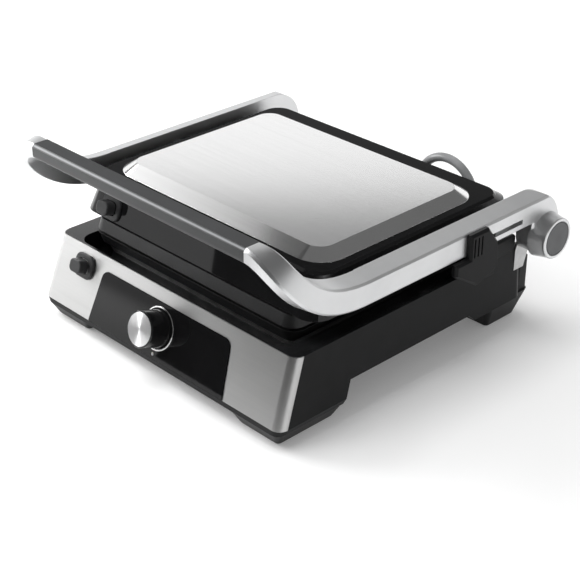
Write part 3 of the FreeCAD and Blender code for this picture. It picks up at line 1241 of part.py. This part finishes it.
def make_conduit():
    arch = doc.addObject("Part::Torus", "conduit_arch")
    bind(arch, "Radius1", "(conduit_base_x - conduit_lid_x) / 2")
    bind(arch, "Radius2", "conduit_radius")
    arch.Angle3 = 180
    arch.Placement = Placement(Vector(0, 0, 0), Rotation(Vector(1, 0, 0), 90))
    bind(arch, "Placement.Base.x", "(conduit_base_x + conduit_lid_x) / 2")
    bind(arch, "Placement.Base.y", back("conduit_back"))
    bind(arch, "Placement.Base.z", "conduit_spring")
    leg = doc.addObject("Part::Cylinder", "conduit_leg")
    bind(leg, "Radius", "conduit_radius")
    bind(leg, "Height", "conduit_spring - base_top - gland_height")
    bind(leg, "Placement.Base.x", "conduit_base_x")
    bind(leg, "Placement.Base.y", back("conduit_back"))
    bind(leg, "Placement.Base.z", "base_top + gland_height")
    conduit = node(boolean("Fuse", "supply_conduit", arch, leg))
    bend = (size("conduit_base_x") - size("conduit_lid_x")) / 2
    length = math.pi * bend + size("conduit_spring") - size("base_top") - size("gland_height")
    section = math.pi * size("conduit_radius") ** 2
    print("supply_conduit bend radius", bend, "volume over section times length",
          round(conduit.Shape.Volume / (section * length), 4))

    gland = new_body("base_gland")
    form = block(gland, "base_gland_form", "YZ_Plane", "conduit_base_x - elbow_width / 2",
                 [(back("conduit_back - gland_radius"), "base_top"), (back("base_depth"), "base_top"),
                  (back("base_depth"), "base_top - gland_drop"),
                  (back("conduit_back + gland_radius"), "base_top - gland_drop"),
                  (back("conduit_back + gland_radius"), "base_top + gland_height"),
                  (back("conduit_back - gland_radius"), "base_top + gland_height")], "elbow_width")

    def gland_corner(edge):
        middle = size("front_y") + size("conduit_back")
        reach = size("gland_radius")
        return upright(edge) and (near(edge, "Y", middle - reach) or near(edge, "Y", middle + reach))
    dressed("Fillet", gland, "base_gland_corners", form, "gland_radius / 2", gland_corner)
    node(gland)

    elbow = new_body("lid_gland")
    rear_run = "(lid_rear_draw / lid_shoulder)"
    foot = "(lid_bottom - elbow_foot)"
    form = block(elbow, "lid_gland_form", "YZ_Plane", "conduit_lid_x - elbow_width / 2",
                 [(f"{back('lid_rear')} + elbow_foot * {rear_run}", foot),
                  (back("conduit_back + gland_radius"), foot),
                  (back("conduit_back + gland_radius"), "conduit_spring"),
                  (f"{back('lid_rear')} - (conduit_spring - lid_bottom) * {rear_run}", "conduit_spring")],
                 "elbow_width")
    dressed("Fillet", elbow, "lid_gland_edges", form, "gland_radius / 2",
            lambda edge: upright(edge) and near(edge, "Y", size("front_y") + size("conduit_back")
                                                + size("gland_radius")))
    node(elbow)

    mains = new_body("mains_gland")
    low = new_sketch(mains, "mains_low", "XZ_Plane", f"-{back('base_depth')}")
    circle(low, "mains_x", "mains_z", "mains_radius")
    high = new_sketch(mains, "mains_high", "XZ_Plane", f"-{back('base_depth + mains_length')}")
    circle(high, "mains_x", "mains_z", "(mains_radius + mains_bore) / 2")
    loft("Additive", mains, "mains_form", low, high)
    bore(mains, "mains_hole", "XZ_Plane", f"-{back('base_depth + mains_length')}", "mains_x", "mains_z",
         "mains_bore", "mains_length * 0.8", flip=True)
    node(mains)


def main():
    front_skin = make_front_skin()
    make_base_shell(front_skin)
    make_front_panel(front_skin)
    make_bottom_cover()
    make_feet()
    make_controls()
    make_release("lower", back("0"), "panel_bottom", "release_low")
    make_release("upper", back("lid_front"), "lid_bottom", "release_high")
    make_cooking_parts()
    make_lid()
    make_lid_cover()
    make_arms()
    make_handle()
    make_hinges()
    make_lock()
    make_conduit()


def write_parts():
    doc.recompute()
    for thing in doc.Objects:
        if "Invalid" in thing.State or "Error" in thing.State:
            raise RuntimeError(f"{thing.Label} is in state {thing.State}")
    os.makedirs("parts", exist_ok=True)
    for thing in nodes:
        shape = thing.Shape
        if shape.isNull() or not shape.isValid():
            raise RuntimeError(f"{thing.Label} has no valid shape")
        shape.exportStep(f"parts/{thing.Label}.step")
    print(len(nodes), "parts written")


main()
write_parts()
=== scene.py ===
"""Looks of the contact grill: materials, floor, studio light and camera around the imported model.

Lengths are metres in the CAD model's frame: X runs to the right, Y to the back and Z up.
"""

import math

import bpy
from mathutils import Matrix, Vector


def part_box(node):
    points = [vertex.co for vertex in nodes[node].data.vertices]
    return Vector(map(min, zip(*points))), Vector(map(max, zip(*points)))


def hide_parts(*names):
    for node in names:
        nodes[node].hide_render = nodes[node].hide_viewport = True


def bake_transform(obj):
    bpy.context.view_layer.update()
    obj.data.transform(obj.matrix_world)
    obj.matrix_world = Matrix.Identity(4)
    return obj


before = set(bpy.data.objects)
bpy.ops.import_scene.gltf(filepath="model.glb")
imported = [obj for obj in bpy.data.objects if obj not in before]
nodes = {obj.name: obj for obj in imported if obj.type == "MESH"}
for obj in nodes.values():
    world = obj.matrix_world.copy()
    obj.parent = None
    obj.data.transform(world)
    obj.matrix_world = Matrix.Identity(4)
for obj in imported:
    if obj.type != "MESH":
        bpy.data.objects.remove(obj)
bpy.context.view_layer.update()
scene = bpy.context.scene

MM = 0.001
MICRON = 0.000001
WHITE = (1, 1, 1, 1)
BEVEL_SAMPLES = 4

FRONT_LEAN = math.radians(20.1)
FRONT_NORMAL = Vector((0, -math.cos(FRONT_LEAN), math.sin(FRONT_LEAN)))
UPWARD_FRONT = Vector((0, -1, 1)).normalized()
RIGHT = Vector((1, 0, 0))


def map_range(tree, value, low, high, start=0.0, end=1.0):
    """A value between start and end, mapped to low and high."""
    made = tree.nodes.new("ShaderNodeMapRange")
    tree.links.new(value, made.inputs["Value"])
    for socket, number in (("From Min", start), ("From Max", end), ("To Min", low), ("To Max", high)):
        made.inputs[socket].default_value = number
    return made.outputs["Result"]


class Surface:
    """A node material that is built up from object coordinates."""

    def __init__(self, name, **sockets):
        self.material = bpy.data.materials.new(name)
        self.material.use_nodes = True
        self.tree = self.material.node_tree
        self.shader = self.tree.nodes["Principled BSDF"]
        for socket, value in sockets.items():
            self.shader.inputs[socket.replace("_", " ")].default_value = value
        coordinates = self.add("ShaderNodeTexCoord")
        self.place = coordinates.outputs["Object"]
        self.facing = coordinates.outputs["Normal"]
        self.normal = None

    def add(self, kind, **properties):
        made = self.tree.nodes.new(kind)
        for name, value in properties.items():
            setattr(made, name, value)
        return made

    def join(self, source, target):
        self.tree.links.new(source, target)

    def feed(self, made, *values):
        """Link or set the inputs of a node, in their order."""
        for socket, value in zip(made.inputs, values):
            if isinstance(value, bpy.types.NodeSocket):
                self.join(value, socket)
            else:
                socket.default_value = value

    def maths(self, operation, *values):
        made = self.add("ShaderNodeMath", operation=operation)
        self.feed(made, *values)
        return made.outputs[0]

    def plus(self, first, second):
        return self.maths("ADD", first, second)

    def times(self, first, second):
        return self.maths("MULTIPLY", first, second)

    def vectors(self, operation, *values):
        made = self.add("ShaderNodeVectorMath", operation=operation)
        self.feed(made, *values)
        return made.outputs

    def dot(self, first, second):
        return self.vectors("DOT_PRODUCT", first, second)["Value"]

    def noise(self, scale, detail=3.0, place=None, rough=0.5):
        made = self.add("ShaderNodeTexNoise")
        made.inputs["Scale"].default_value = scale
        made.inputs["Detail"].default_value = detail
        made.inputs["Roughness"].default_value = rough
        self.join(self.place if place is None else place, made.inputs["Vector"])
        return made.outputs["Fac"]

    def streaks(self, scales, detail, rough=0.5):
        """Noise with a scale of its own along each axis."""
        return self.noise(1.0, detail, self.vectors("MULTIPLY", self.place, scales)[0], rough)

    def ranged(self, value, low, high, start=0.25, end=0.75):
        """A value mapped to low and high. The default start and end are those of most noise."""
        return map_range(self.tree, value, low, high, start, end)

    def tint(self, value, colour, dark, bright):
        """Base colour between a dark and a bright shade of one colour, by a value from 0 to 1."""
        made = self.add("ShaderNodeMix", data_type="RGBA")
        self.join(value, made.inputs["Factor"])
        made.inputs["A"].default_value = (*(part * dark for part in colour), 1)
        made.inputs["B"].default_value = (*(part * bright for part in colour), 1)
        self.set("Base Color", made.outputs["Result"])

    def rounded(self, radius):
        """The normal of a surface whose edges are rounded by a radius."""
        made = self.add("ShaderNodeBevel", samples=BEVEL_SAMPLES)
        made.inputs["Radius"].default_value = radius
        return made.outputs["Normal"]

    def soften(self, radius):
        """Round the look of every edge."""
        self.normal = self.rounded(radius)

    def bump(self, height, depth, strength=1.0):
        made = self.add("ShaderNodeBump")
        made.inputs["Distance"].default_value = depth
        made.inputs["Strength"].default_value = strength
        self.join(height, made.inputs["Height"])
        self.join(self.normal, made.inputs["Normal"])
        self.normal = made.outputs["Normal"]

    def edges(self, radius):
        """A value that rises from 0 to 1 at the edges, where handling wears a surface."""
        plain = self.add("ShaderNodeNewGeometry").outputs["Normal"]
        return self.ranged(self.dot(self.rounded(radius), plain), 1.0, 0.0, start=0.8, end=1.0)

    def facing_up(self, other, upper):
        """A value that differs between faces that look up and all other faces."""
        parts = self.add("ShaderNodeSeparateXYZ")
        self.join(self.facing, parts.inputs[0])
        return self.ranged(parts.outputs["Z"], other, upper, start=0.7, end=0.95)

    def set(self, socket, value):
        self.join(value, self.shader.inputs[socket])

    def done(self):
        self.set("Normal", self.normal)
        return self.material


# Makers of materials

def moulded(name, colour, *, roughness, grain, depth, edge, gloss=0.5, upper_gloss=0.5, upper_rough=0.4):
    """Moulded plastic: a fine grain, faint clouds in colour and gloss, edges rubbed a little lighter."""
    made = Surface(name)
    clouds = made.noise(scale=38.0, detail=4.0)
    fine = made.noise(scale=grain, detail=2.0)
    wear = made.times(made.edges(edge * 2), made.ranged(made.noise(scale=160.0), 0.1, 0.9))
    value = made.plus(made.ranged(clouds, 0.0, 0.55), made.times(wear, 0.45))
    made.tint(value, colour, dark=0.8, bright=1.7)
    clouded = made.times(made.facing_up(roughness, upper_rough), made.ranged(clouds, 0.9, 1.08))
    made.set("Roughness", made.plus(clouded, made.ranged(fine, -0.03, 0.03)))
    made.set("Specular IOR Level", made.facing_up(gloss, upper_gloss))
    made.soften(edge)
    made.bump(fine, depth)
    return made.done()


def polished(name, colour, *, roughness, gloss, upper_rough, upper_gloss):
    """Polished plastic with wiping marks and a faint waviness. Its upper faces can be satin."""
    made = Surface(name)
    clouds = made.noise(scale=22.0)
    marks = made.streaks((60.0, 420.0, 420.0), detail=4.0)
    made.tint(made.ranged(clouds, 0.0, 1.0), colour, dark=0.85, bright=1.2)
    wiped = made.times(made.facing_up(roughness, upper_rough), made.ranged(marks, 0.7, 1.4))
    made.set("Roughness", made.plus(wiped, made.ranged(clouds, -0.01, 0.015)))
    made.set("Specular IOR Level", made.facing_up(gloss, upper_gloss))
    made.soften(0.5 * MM)
    made.bump(clouds, depth=20 * MICRON, strength=0.4)
    return made.done()


def brushed(name, colour, *, roughness, across):
    """Steel that is brushed along X: fine streaks, and gloss that spreads across the grain."""
    made = Surface(name, Metallic=1.0, Anisotropic=0.7)
    streaks = made.streaks((6.0, across, across), detail=5.0, rough=0.7)
    bands = made.streaks((1.5, across / 9, across / 9), detail=2.0)
    value = made.plus(made.ranged(streaks, 0.0, 0.75), made.ranged(bands, 0.0, 0.25))
    made.tint(value, colour, dark=0.93, bright=1.05)
    made.set("Roughness", made.ranged(streaks, roughness * 0.9, roughness * 1.12))
    spread = made.add("ShaderNodeCombineXYZ")
    made.feed(spread, 0.0, 0.6, 0.8)
    made.set("Tangent", spread.outputs[0])
    made.soften(0.4 * MM)
    made.bump(streaks, depth=6 * MICRON)
    return made.done()


def grip(name, colour, *, roughness, facing, ridge, half_width):
    """Soft grip. A highlight is painted along the middle of its chamfer, found by where it lies and faces,
    and broken up by scratches.
    """
    made = Surface(name)
    clouds = made.noise(scale=34.0, detail=4.0)
    fine = made.noise(scale=1700.0, detail=2.0)
    scratches = made.streaks((30.0, 2400.0, 2400.0), detail=3.0)
    faces = made.ranged(made.dot(made.facing, facing), 0.0, 1.0, start=0.93, end=0.97)
    off = made.maths("ABSOLUTE", made.maths("SUBTRACT", made.dot(made.place, facing.cross(RIGHT)), ridge))
    highlight_band = made.ranged(off, 1.0, 0.0, start=half_width * 0.6, end=half_width * 1.4)
    # Painted highlight: the middle band of the chamfer is tinted up to seven times brighter
    painted_highlight = made.times(made.times(faces, highlight_band), made.ranged(scratches, 0.7, 0.94))
    made.tint(made.plus(made.ranged(clouds, 0.0, 0.06), painted_highlight), colour, dark=1.0, bright=7.0)
    made.set("Specular IOR Level", made.facing_up(0.4, 0.12))
    clouded = made.ranged(clouds, roughness * 0.94, roughness * 1.06)
    made.set("Roughness", made.plus(clouded, made.ranged(fine, -0.03, 0.03)))
    made.soften(0.5 * MM)
    made.bump(fine, depth=8 * MICRON)
    return made.done()


def cast_metal(name, colour, *, roughness, edge):
    """Satin cast metal: very fine blasted grain, soft clouds, edges a little brighter."""
    made = Surface(name, Metallic=1.0)
    clouds = made.noise(scale=26.0, detail=4.0)
    blasted = made.noise(scale=2600.0, detail=2.0)
    wear = made.times(made.edges(edge), made.ranged(made.noise(scale=120.0), 0.2, 0.8))
    value = made.plus(made.ranged(clouds, 0.0, 0.6), made.times(wear, 0.4))
    made.tint(value, colour, dark=0.92, bright=1.1)
    clouded = made.ranged(clouds, roughness * 0.94, roughness * 1.06)
    made.set("Roughness", made.plus(clouded, made.ranged(blasted, -0.05, 0.05)))
    made.soften(edge)
    made.bump(blasted, depth=12 * MICRON)
    return made.done()


def plain_metal(name, colour, *, roughness, scratch=700.0):
    """Turned, pressed or drawn metal: short scratches and dull spots."""
    made = Surface(name, Metallic=1.0)
    scratches = made.streaks((scratch, scratch / 6, scratch / 3), detail=4.0, rough=0.6)
    spots = made.noise(scale=90.0)
    made.tint(made.ranged(spots, 0.0, 1.0), colour, dark=0.8, bright=1.1)
    scratched = made.ranged(scratches, roughness * 0.8, roughness * 1.2)
    made.set("Roughness", made.plus(scratched, made.ranged(spots, -0.04, 0.06)))
    made.soften(0.3 * MM)
    made.bump(scratches, depth=10 * MICRON)
    return made.done()


def spun_metal(name, colour, *, roughness, centre, axis):
    """Metal that was turned in circles about an axis: fine rings, and gloss that spreads across them."""
    made = Surface(name, Metallic=1.0, Anisotropic=0.96)
    arm = made.vectors("SUBTRACT", made.place, centre)[0]
    swept = made.vectors("CROSS_PRODUCT", axis, arm)[0]
    ring = made.add("ShaderNodeCombineXYZ")
    made.feed(ring, made.vectors("LENGTH", swept)["Value"])
    grooves = made.noise(scale=3600.0, place=ring.outputs[0], rough=0.7)
    made.tint(made.ranged(grooves, 0.0, 1.0), colour, dark=0.8, bright=1.1)
    made.set("Roughness", made.ranged(grooves, roughness * 0.75, roughness * 1.3))
    spread = made.add("ShaderNodeVectorTransform", vector_type="VECTOR", convert_from="OBJECT",
                      convert_to="WORLD")
    made.feed(spread, arm)
    made.set("Tangent", spread.outputs[0])
    made.soften(0.3 * MM)
    made.bump(grooves, depth=18 * MICRON)
    return made.done()


def coated_plate(name, colour):
    """Non-stick coating on cast metal: pale specks, a faint pebble and clouds."""
    made = Surface(name, Metallic=0.35, Specular_IOR_Level=0.5)
    specks = made.ranged(made.noise(scale=1500.0, detail=1.0), 0.0, 1.0, start=0.66, end=0.72)
    clouds = made.noise(scale=30.0, detail=4.0)
    pebble = made.noise(scale=620.0)
    value = made.plus(made.ranged(clouds, 0.0, 0.35), made.times(specks, 0.5))
    made.tint(value, colour, dark=0.85, bright=2.2)
    made.set("Roughness", made.ranged(pebble, 0.34, 0.48))
    made.soften(0.6 * MM)
    made.bump(pebble, depth=40 * MICRON)
    return made.done()


def rubber(name, colour, *, roughness):
    """Rubber or soft sleeve with a dusty bloom in patches."""
    made = Surface(name, Specular_IOR_Level=0.35)
    bloom = made.noise(scale=55.0, detail=5.0)
    pores = made.noise(scale=1700.0, detail=2.0)
    made.tint(made.ranged(bloom, 0.0, 1.0), colour, dark=0.85, bright=1.25)
    made.set("Roughness", made.ranged(bloom, roughness * 0.92, roughness * 1.1))
    made.soften(0.4 * MM)
    made.bump(pores, depth=20 * MICRON)
    return made.done()


def lens(name, colour):
    """Milky indicator lens with a fine frosting."""
    made = Surface(name, Roughness=0.25, Subsurface_Weight=0.3, Subsurface_Scale=1.0 * MM)
    frost = made.noise(scale=2400.0, detail=2.0)
    made.tint(made.ranged(frost, 0.0, 1.0), colour, dark=0.92, bright=1.0)
    made.soften(0.3 * MM)
    made.bump(frost, depth=10 * MICRON)
    return made.done()


def middle(node):
    low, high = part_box(node)
    return (low + high) / 2


# Materials, and the pieces that wear them

base_black = moulded("base_black", (0.009, 0.0092, 0.0096), roughness=0.38, grain=1500.0, depth=18 * MICRON,
                     edge=0.8 * MM, gloss=0.12, upper_gloss=0.9, upper_rough=0.16)
foot_black = moulded("foot_black", (0.011, 0.0112, 0.0116), roughness=0.42, grain=1500.0, depth=18 * MICRON,
                     edge=0.8 * MM, gloss=0.18)
button_black = moulded("button_black", (0.024, 0.0243, 0.025), roughness=0.36, grain=1900.0,
                       depth=12 * MICRON, edge=0.5 * MM, gloss=0.35)
lock_black = moulded("lock_black", (0.009, 0.009, 0.0095), roughness=0.4, grain=1900.0, depth=12 * MICRON,
                     edge=0.5 * MM, gloss=0.12, upper_gloss=0.4)
cap_grey = moulded("cap_grey", (0.085, 0.0873, 0.0912), roughness=0.35, grain=1800.0, depth=10 * MICRON,
                   edge=0.5 * MM)
gland_black = moulded("gland_black", (0.02, 0.02, 0.021), roughness=0.45, grain=1600.0, depth=15 * MICRON,
                      edge=0.6 * MM)
lid_black = polished("lid_black", (0.005, 0.005, 0.0053), roughness=0.03, gloss=0.4, upper_rough=0.16,
                     upper_gloss=0.02)
panel_black = polished("panel_black", (0.005, 0.005, 0.0053), roughness=0.03, gloss=0.22, upper_rough=0.03,
                       upper_gloss=0.22)
knob_black = polished("knob_black", (0.008, 0.008, 0.0085), roughness=0.16, gloss=0.5, upper_rough=0.16,
                      upper_gloss=0.5)
# The handle's chamfer carries a painted highlight, a band centred at ridge across it
handle_grey = grip("handle_grey", (0.036, 0.037, 0.038), roughness=0.42, facing=UPWARD_FRONT,
                   ridge=8.56 * MM, half_width=0.9 * MM)
front_steel = brushed("front_steel", (0.48, 0.48, 0.477), roughness=0.34, across=1500.0)
lid_steel = brushed("lid_steel", (0.95, 0.95, 0.95), roughness=0.14, across=1700.0)
arm_silver = cast_metal("arm_silver", (0.74, 0.745, 0.75), roughness=0.4, edge=0.8 * MM)
ring_chrome = plain_metal("ring_chrome", (0.8, 0.8, 0.8), roughness=0.12)
fitting_steel = plain_metal("fitting_steel", (0.5, 0.5, 0.5), roughness=0.33)
tray_metal = plain_metal("tray_metal", (0.6, 0.6, 0.6), roughness=0.36, scratch=500.0)
heater_metal = plain_metal("heater_metal", (0.16, 0.15, 0.145), roughness=0.5, scratch=300.0)
bush_bronze = plain_metal("bush_bronze", (0.62, 0.46, 0.24), roughness=0.38)
face_metal = spun_metal("face_metal", (0.85, 0.85, 0.855), roughness=0.36, centre=middle("knob_face"),
                        axis=FRONT_NORMAL)
plate_dark = coated_plate("plate_dark", (0.014, 0.014, 0.0145))
pad_black = rubber("pad_black", (0.02, 0.02, 0.02), roughness=0.8)
sleeve_grey = rubber("sleeve_grey", (0.24, 0.243, 0.247), roughness=0.2)
lamp_white = lens("lamp_white", (0.4, 0.4, 0.39))

FINISHES = {
    base_black: ["base_shell", "bottom_cover", "hinge_tower_left", "hinge_tower_right", "thermostat"],
    foot_black: ["front_foot_left", "front_foot_right", "rear_foot_left", "rear_foot_right"],
    lid_black: ["lid_housing"],
    panel_black: ["control_panel"],
    knob_black: ["knob_body"],
    button_black: ["lower_release_bezel", "lower_release_button", "upper_release_bezel",
                   "upper_release_button"],
    lock_black: ["lock_slider"],
    handle_grey: ["handle_bar"],
    cap_grey: ["hinge_cap_left", "hinge_cap_right"],
    gland_black: ["base_gland", "lid_gland", "mains_gland"],
    front_steel: ["front_panel"],
    lid_steel: ["lid_cover"],
    arm_silver: ["left_arm", "right_arm"],
    ring_chrome: ["knob_ring"],
    fitting_steel: ["hinge_bracket_left", "hinge_bracket_right", "hinge_pin_left", "hinge_pin_right",
                    "pivot_pin_left", "pivot_pin_right", "handle_tie_rod", "knob_shaft", "cover_screws"],
    tray_metal: ["lower_reflector", "upper_reflector"],
    heater_metal: ["lower_heater", "upper_heater"],
    bush_bronze: ["hinge_bush_left", "hinge_bush_right"],
    face_metal: ["knob_face"],
    plate_dark: ["lower_plate", "upper_plate"],
    pad_black: ["front_pad_left", "front_pad_right", "rear_pad_left", "rear_pad_right"],
    lamp_white: ["indicator_lamp"],
}
for material, members in FINISHES.items():
    for name in members:
        slots = nodes[name].data.materials
        slots.clear()
        slots.append(material)


def placed(name, data):
    """New object in the scene's own collection."""
    made = bpy.data.objects.new(name, data)
    scene.collection.objects.link(made)
    return made


# Conduit

def tube_mesh(name, route, radius, around=24):
    """Closed round tube along a route in a plane of constant Y, given as centres and turns about Y."""
    points = []
    for centre, turn in route:
        outward = Vector((math.cos(turn), 0, math.sin(turn)))
        for corner in range(around):
            angle = math.tau * corner / around
            points.append(centre + radius * (outward * math.cos(angle) + Vector((0, math.sin(angle), 0))))
    faces = []
    for ring in range(len(route) - 1):
        first = ring * around
        second = first + around
        for corner in range(around):
            following = (corner + 1) % around
            faces.append((first + corner, first + following, second + following, second + corner))
    last = (len(route) - 1) * around
    faces.append(tuple(reversed(range(around))))
    faces.append(tuple(range(last, last + around)))
    mesh = bpy.data.meshes.new(name)
    mesh.from_pydata(points, [], faces)
    for face in mesh.polygons:
        face.use_smooth = len(face.vertices) < around
    return mesh


def conduit_tube(leg_steps=8, arch_steps=64):
    """Flexible tube on the conduit's route, in place of the CAD conduit, which is hidden."""
    low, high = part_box("supply_conduit")
    radius = (high.y - low.y) / 2
    base_x = high.x - radius
    lid_x = low.x + radius
    bend = (base_x - lid_x) / 2
    spring = high.z - bend - radius
    middle_x = (base_x + lid_x) / 2
    middle_y = (low.y + high.y) / 2
    route = []
    for step in range(leg_steps):
        height = low.z + (spring - low.z) * step / leg_steps
        route.append((Vector((base_x, middle_y, height)), 0.0))
    for step in range(arch_steps + 1):
        turn = math.pi * step / arch_steps
        centre = Vector((middle_x + bend * math.cos(turn), middle_y, spring + bend * math.sin(turn)))
        route.append((centre, turn))
    mesh = tube_mesh("conduit_tube", route, radius)
    mesh.materials.append(sleeve_grey)
    tube = placed("conduit_tube", mesh)
    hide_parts("supply_conduit")
    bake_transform(tube)


conduit_tube()


# Stage

FLOOR_HALF = 7.0
FLOOR_ALBEDO = 0.86
FLOOR_ROUGHNESS = 0.9
FLOOR_LIFT = 0.15
CARD_ALBEDO = 0.004
CARD_ROUGHNESS = 1.0
ROOM_LIGHT = 0.42
ROOM_SEEN = 1.0


def seen_or_mirrored(tree):
    """1 for what the camera sees directly or in a reflection, 0 for other light."""
    path = tree.nodes.new("ShaderNodeLightPath")
    made = tree.nodes.new("ShaderNodeMath")
    made.operation = "MAXIMUM"
    tree.links.new(path.outputs["Is Camera Ray"], made.inputs[0])
    tree.links.new(path.outputs["Is Glossy Ray"], made.inputs[1])
    return made.outputs[0]


def glowing_material(name, albedo, roughness):
    """Matt material without gloss. Its glow is the second thing that is returned."""
    made = bpy.data.materials.new(name)
    made.use_nodes = True
    sockets = made.node_tree.nodes["Principled BSDF"].inputs
    sockets["Base Color"].default_value = (albedo, albedo, albedo, 1)
    sockets["Roughness"].default_value = roughness
    sockets["Specular IOR Level"].default_value = 0.0
    sockets["Emission Color"].default_value = WHITE
    return made, sockets["Emission Strength"]


def flat_piece(name, corners, material):
    mesh = bpy.data.meshes.new(name)
    mesh.from_pydata(corners, [], [tuple(range(len(corners)))])
    mesh.materials.append(material)
    made = placed(name, mesh)
    return made


def level_corners(left, front, right, rear, height):
    return [(left, front, height), (right, front, height), (right, rear, height), (left, rear, height)]


def add_floor():
    """Pale matt floor. Seen directly or in a reflection it is lifted to white, and it keeps the shadow."""
    material, glow = glowing_material("floor_white", FLOOR_ALBEDO, FLOOR_ROUGHNESS)
    tree = material.node_tree
    tree.links.new(map_range(tree, seen_or_mirrored(tree), 0.0, FLOOR_LIFT), glow)
    flat_piece("floor", level_corners(-FLOOR_HALF, -FLOOR_HALF, FLOOR_HALF, FLOOR_HALF, 0), material)


def card(name, corners, level):
    """Card that only reflections see, with a brightness of its own. Returns its material and its glow."""
    material, glow = glowing_material(name, CARD_ALBEDO, CARD_ROUGHNESS)
    glow.default_value = level
    made = flat_piece(name, corners, material)
    made.visible_camera = False
    made.visible_diffuse = False
    made.visible_shadow = False
    return material, glow


def fading_card(name, corners, start, end, start_level, end_level):
    """Card whose brightness changes along X."""
    material, glow = card(name, corners, start_level)
    tree = material.node_tree
    parts = tree.nodes.new("ShaderNodeSeparateXYZ")
    tree.links.new(tree.nodes.new("ShaderNodeTexCoord").outputs["Object"], parts.inputs[0])
    tree.links.new(map_range(tree, parts.outputs["X"], start_level, end_level, start, end), glow)


def aim(thing, place, target):
    thing.location = place
    thing.rotation_euler = (Vector(target) - Vector(place)).to_track_quat("-Z", "Y").to_euler()


def light(name, kind, place, target, energy, in_reflections):
    data = bpy.data.lights.new(name, kind)
    data.energy = energy
    made = placed(name, data)
    aim(made, place, target)
    made.visible_camera = False
    made.visible_glossy = in_reflections
    return data


def white_room():
    """White world. It is at full strength where it is seen, and weaker as light on matt surfaces."""
    world = bpy.data.worlds.new("studio")
    world.use_nodes = True
    tree = world.node_tree
    sockets = tree.nodes["Background"].inputs
    sockets["Color"].default_value = WHITE
    tree.links.new(map_range(tree, seen_or_mirrored(tree), ROOM_LIGHT, ROOM_SEEN), sockets["Strength"])
    return world


add_floor()

# Dark card in front, whose left edge is the line across the gloss of the lid and the control panel
FRONT_FLAG_Y = -0.45
FRONT_FLAG = [(-0.249, 0.002), (0.75, 0.002), (0.75, 0.3), (-0.32, 0.3), (-0.276, 0.14), (-0.242, 0.07)]
card("front_flag", [(across, FRONT_FLAG_Y, height) for across, height in FRONT_FLAG], level=0.05)

# Dark ceiling, whose edge far back on the left makes the fade on the lid cover's top
BACK_LEFT = Vector((-0.72, 0.69, 0.0)).normalized()
SIDEWAYS = Vector((0.69, 0.72, 0.0)).normalized()
CEILING = Vector((0, 0, 1.2))
CEILING_FLAG = [(2.13, -3.0), (2.13, 3.0), (-2.5, 3.0), (-2.5, -3.0)]
card("ceiling_flag", [CEILING + BACK_LEFT * along + SIDEWAYS * aside for along, aside in CEILING_FLAG],
     level=0.13)

# Cards that the lid cover's front slope mirrors, from white at its left to dark at its right
SLOPE_CARD_Z = 1.0
SLOPE_CARD_FRONT = -0.8
SLOPE_CARD_EDGE = -0.67
fading_card("left_card", level_corners(-1.6, SLOPE_CARD_FRONT, SLOPE_CARD_EDGE, 0.3, SLOPE_CARD_Z),
            start=-1.06, end=SLOPE_CARD_EDGE, start_level=0.92, end_level=0.3)
card("slope_flag", level_corners(SLOPE_CARD_EDGE, SLOPE_CARD_FRONT, -0.35, 0.0, SLOPE_CARD_Z), level=0.06)

# Bright card behind, which the right arm's top mirrors
card("rear_card", [(-0.8, 0.45, 0.75), (0.05, 0.95, 0.75), (0.15, 0.7, 1.15), (-0.7, 0.2, 1.15)],
     level=0.75)

key = light("key_light", "AREA", (-1.38, -0.6, 0.88), (0.0, 0.0, 0.05), energy=24.0, in_reflections=True)
key.size = 0.9
top = light("top_light", "SUN", (-0.3, -0.2, 2.0), (0.0, 0.0, 0.1), energy=1.45, in_reflections=False)
top.angle = math.radians(40)
fill = light("front_light", "AREA", (-0.7, -1.5, 1.1), (0.0, 0.0, 0.1), energy=6.0, in_reflections=False)
fill.size = 1.0

scene.world = white_room()

# Camera that was fitted to the photo
camera_data = bpy.data.cameras.new("camera")
camera_data.lens = 87.85
camera_data.sensor_width = 36.0
camera = placed("camera", camera_data)
aim(camera, (0.93861, -0.89013, 0.74591), (0.015195, -0.006395, 0.038859))
scene.camera = camera

scene.view_settings.view_transform = "Standard"
